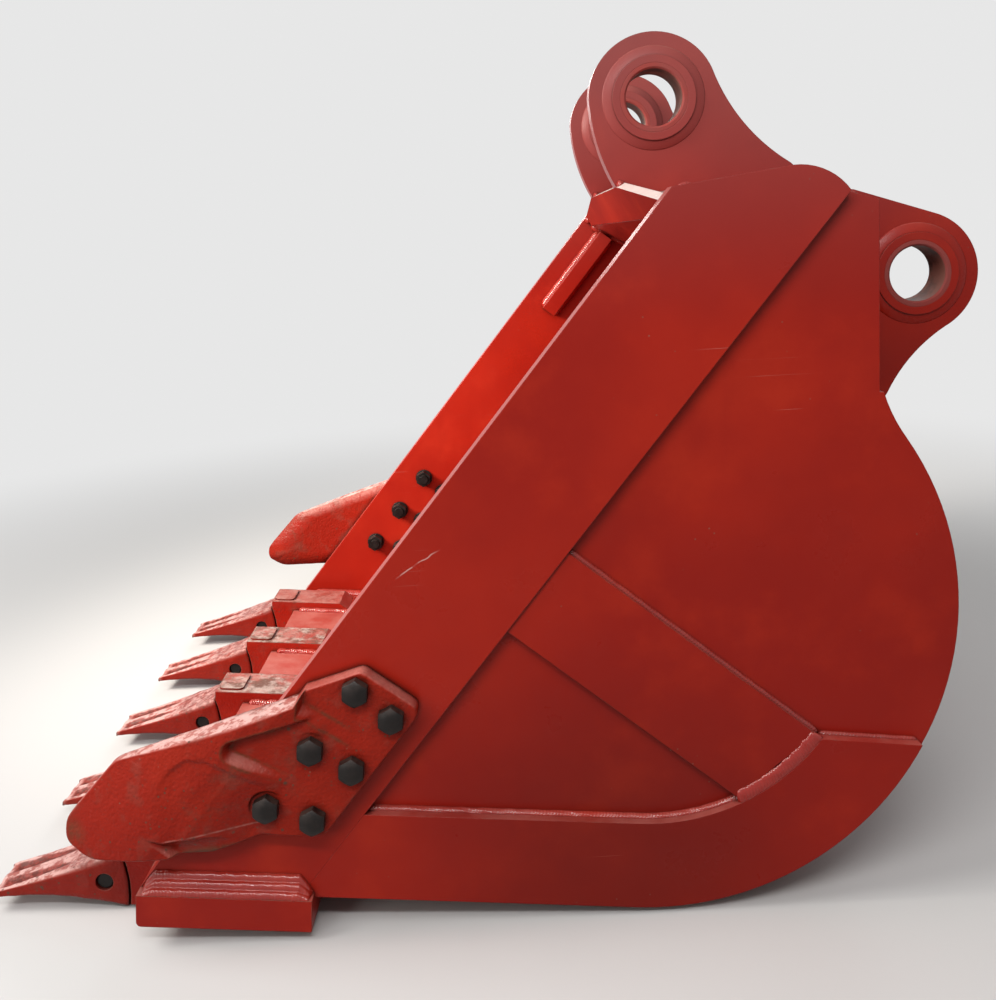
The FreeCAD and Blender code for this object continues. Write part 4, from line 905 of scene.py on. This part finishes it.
def tooth_tip():
    """The tip as rings round its length: socket floor, socket wall, mouth, rear face, then the
    outside forward to the edge, narrowed in plan, with two flutes sunk into the back. Also
    gives how rubbed and how soiled each place is: most of all the back between the flutes."""
    turn = np.linspace(0, 2 * math.pi, 160, endpoint=False)
    square = np.broadcast_to(squared(turn, 14.0), (1, 160, 2))
    length = np.concatenate(([0.0, 0.004, 0.012], np.linspace(0.024, 0.965, 74), [0.982, 0.993, 1.0]))[:, None]
    ring = np.broadcast_to(squared(turn, 9.0), (len(length), 160, 2))
    rise = (ring[..., 1] + 1) / 2
    side_view = tip_place(np.broadcast_to(length, rise.shape), rise)
    half = 0.048 - 0.008 * np.clip((length - 0.265) / 0.735, 0, 1)
    soften = 1 - 0.035 * (1 - eased(length, 0.0, 0.012)) - 0.06 * eased(length, 0.965, 1.0)
    across = ring[..., 0] * half * soften
    off_back = np.abs(np.abs(across) - 0.020)
    flute_centre = 0.0062 + 0.0088 * np.clip((1 - length) / 0.62, 0, 2.0)
    depth = np.clip(np.sqrt(np.clip(0.015 ** 2 - off_back ** 2, 0, None)) - flute_centre, 0, None)
    depth = depth * (1 - 0.72 * eased(length, 0.88, 0.99))
    down = depth * eased(rise, 0.62, 0.97)
    spot = np.stack((side_view[..., 0], across, side_view[..., 1]), axis=-1)
    rough = 0.00040 * lumps(spot, 0.030, 6) + 0.00018 * lumps(spot, 0.008, 7)
    stamped = eased(rise, 0.9, 1.0) * eased(length, 0.06, 0.10) * (1 - eased(length, 0.36, 0.46))
    rough = rough + 0.00075 * np.clip(lumps(spot, 0.010, 8), -0.5, 0.6) * stamped
    outside = spot + np.stack((np.zeros_like(down), ring[..., 0] * rough, ring[..., 1] * rough - down), axis=-1)
    on_back = eased(rise, 0.86, 0.97)
    in_flute = eased(depth, 0.0002, 0.0016)
    rubbed = on_back * (1 - in_flute) * (0.75 + 0.25 * eased(length, 0.3, 0.9))
    rubbed = np.maximum(rubbed, 0.9 * eased(length, 0.950, 0.985))
    soiled = on_back * (0.60 * (1 - eased(length, 0.34, 0.50)) + 1.1 * in_flute * (1 - eased(length, 0.93, 0.98)))
    edge_face = outside[-1:].copy()
    edge_face[..., 2] = tip_low_edge[1] + 0.02 * (edge_face[..., 2] - tip_low_edge[1])
    outside = np.concatenate((outside, edge_face), axis=0)
    chart = np.stack((rubbed, soiled), axis=-1)
    chart = np.concatenate((chart, chart[-1:]), axis=0)
    mouth = nose_ring(np.array([[0.004 + 0.014]]), 0.0012, square)
    mouth = mouth + (0.0118, 0.0, 0.0)
    rear = outside[:1] * 0.45 + mouth * 0.55
    deep = [nose_ring(np.array([[station]]), 0.0006, square) for station in (0.108, 0.080, 0.050, 0.025)]
    floor_ring = deep[0] * 1.0
    middle = floor_ring.mean(axis=1, keepdims=True)
    inside = np.concatenate([middle + (floor_ring - middle) * 0.3] + deep + [mouth, rear], axis=0)
    return (np.concatenate((inside, outside), axis=0),
            np.concatenate((np.zeros((*inside.shape[:2], 2)), chart), axis=0))


def drilled(piece, centre, radius, reach):
    """The piece with a round hole bored through it across the bucket."""
    turn = np.linspace(0, 2 * math.pi, 64, endpoint=False)
    circle = np.stack((centre[0] + radius * np.cos(turn), np.zeros(64), centre[1] + radius * np.sin(turn)), axis=-1)
    rings = stand(np.stack((circle - (0, reach, 0), circle + (0, reach, 0))))
    drill = skin("drill", rings, piece.data.materials[0], smooth=False)
    cut = piece.modifiers.new("hole", "BOOLEAN")
    cut.object = drill
    cut.solver = "EXACT"
    bpy.context.view_layer.update()
    mesh = bpy.data.meshes.new_from_object(piece.evaluated_get(bpy.context.evaluated_depsgraph_get()))
    bpy.data.objects.remove(piece)
    bpy.data.objects.remove(drill)
    return mesh


# The tips' enamel is darkened by painted shade.
tip_finish = enamelled("enamelled_tip", edge=0.0022, gloss=0.32, cast=0.8, chips=0.7, dust=0.5, grime=0.35,
                       wear=0.05, marks=(dark_flute, 90.0), shade=0.36)
tip_grid, tip_chart = tooth_tip()
pattern = skin("tooth_pattern", stand(tip_grid), tip_finish, tip_chart, "marks")
tip_mesh = drilled(pattern, pin_place, pin_hole, 0.08)
tip_mesh.set_sharp_from_angle(angle=math.radians(50))
places = np.zeros(len(tip_mesh.vertices) * 3)
tip_mesh.vertices.foreach_get("co", places)
for number, middle in enumerate(tooth_middles, start=1):
    mesh = tip_mesh.copy()
    mesh.name = "tooth_casting_" + str(number)
    mesh.vertices.foreach_set("co", (places.reshape(-1, 3) + (0.0, middle, 0.0)).ravel())
    tip = bpy.data.objects.new("tooth_casting_" + str(number), mesh)
    bpy.context.scene.collection.objects.link(tip)
    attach(tip, "bucket")
    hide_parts("tooth_tip_" + str(number))

# Adapters: castings welded over the lip with a strap above and below. Their tops are scuffed to
# a silvery grey, most of all on the raised pad.
adapter_finish = enamelled("enamelled_adapter", edge=0.003, gloss=0.32, cast=0.8, chips=0.7, dust=0.7, grime=0.5,
                           wear=0.06, scuffed=0.95)
strap_finish = enamelled("enamelled_strap_weld", edge=0.0006, gloss=0.12, chips=0.3, dust=0.3, ripples=0.0008,
                         corners=0.5, shine=0.55)
painted_adapter = enamelled("enamelled_far_adapter", edge=0.003, gloss=0.32, cast=0.8, chips=0.7, dust=0.9, grime=0.3,
                            wear=0.06, scuffed=0.3)
turn = np.radians(np.linspace(0, 90, 4))
for number, middle in enumerate(tooth_middles, start=1):
    finish_node("adapter_" + str(number), painted_adapter if number == 5 else adapter_finish)
    for face, level, up, end in (("upper", floor_top, 1.0, lip_front + 0.146), ("lower", lip_under, -1.0, lip_front + 0.086)):
        corner = np.stack((end - 0.004 + 0.004 * np.sin(turn), 0.043 + 0.004 * np.cos(turn)), axis=-1)
        outward = np.stack((np.sin(turn), np.cos(turn)), axis=-1)
        run = np.concatenate(([(lip_front + 0.012, 0.047)], corner, corner[::-1] * (1, -1), [(lip_front + 0.012, -0.047)]))
        ways = np.concatenate(([(0.0, 1.0)], outward, outward[::-1] * (1, -1), [(0.0, -1.0)]))
        path = np.stack((run[:, 0], middle + run[:, 1], np.full(len(run), level)), axis=-1)
        first = np.stack((ways[:, 0], ways[:, 1], np.zeros(len(ways))), axis=-1)
        bead("weld_adapter_" + face + "_" + str(number), path, first, (0.0, 0.0, up), 0.009, 0.008, step=0.003,
             seed=60 + number, rough=2.2, finish=strap_finish)
for hand in ("left", "right"):
    for pin in ("stick", "link"):
        finish_node(pin + "_boss_" + hand, plate_finish)

# Bolts, nuts, pins and retainers: hardened steel, blackened in oil. The heads are slightly
# domed, dusty, and shine dully on their corners.
def blackened(name, tone, gloss):
    """Black oxide on steel: nearly black, with a warm bloom and dust in its clouds."""
    recipe = Recipe(name)
    eased_edge = recipe.add("ShaderNodeBevel", {"Radius": 0.0018}, samples=6)
    cloud = recipe.noise(60.0, 4.0, 0.6)
    facing = recipe.add("ShaderNodeSeparateXYZ",
                        (recipe.add("ShaderNodeNewGeometry", output="Normal"),), output="Z")
    colour = recipe.blend(recipe.between(cloud, 0.35, 0.75), tone, tuple(2.0 * part for part in tone))
    dust = recipe.maths("MULTIPLY", recipe.between(facing, 0.1, 0.9, 0.0, 0.35), recipe.between(cloud, 0.3, 0.6))
    colour = recipe.blend(dust, colour, (0.080, 0.048, 0.038))
    normal = recipe.bump(recipe.noise(420.0, 3.0), 0.00016, eased_edge)
    sheen = recipe.between(cloud, 0.3, 0.7, gloss, gloss + 0.16)
    return recipe.surface(Base_Color=colour, Roughness=sheen, Normal=normal, Specular_IOR_Level=0.22)


black_finish = blackened("blackened_steel", (0.0068, 0.0048, 0.0043), 0.36)
for name in ("cutter_bolts_left", "cutter_bolts_right", "cutter_nuts_left", "cutter_nuts_right", "pin_retainers"):
    finish_node(name, black_finish)
for number in range(1, 6):
    finish_node("tooth_pin_" + str(number), black_finish)


# Bushes: hardened sleeves pressed into the bosses. The spray caught their end faces, and the
# bore is left bare and greased.
def greased_bush():
    """Enamel on the faces that look across the bucket, dark greased steel in the bore."""
    recipe = Recipe("greased_bush")
    across = recipe.add("ShaderNodeSeparateXYZ",
                        (recipe.add("ShaderNodeNewGeometry", output="Normal"),), output="Y")
    painted = recipe.between(recipe.maths("ABSOLUTE", across), 0.40, 0.60)
    cloud = recipe.noise(22.0, 5.0, 0.6)
    bare = recipe.blend(recipe.between(cloud, 0.30, 0.62), (0.050, 0.026, 0.020), (0.24, 0.095, 0.070))
    coated = recipe.blend(recipe.between(cloud, 0.30, 0.70, 0.34, 0.50), enamel, (0.19, 0.110, 0.105))
    colour = recipe.blend(painted, bare, coated)
    normal = recipe.bump(recipe.noise(150.0, 3.0), 0.00006, recipe.add("ShaderNodeBevel", {"Radius": 0.002}, samples=4))
    return recipe.surface(Base_Color=colour, Roughness=recipe.between(cloud, 0.3, 0.7, 0.55, 0.70), Normal=normal,
                          Specular_IOR_Level=0.12)


bush_finish = greased_bush()
for hand in ("left", "right"):
    for pin in ("stick", "link"):
        finish_node(pin + "_bush_" + hand, bush_finish)
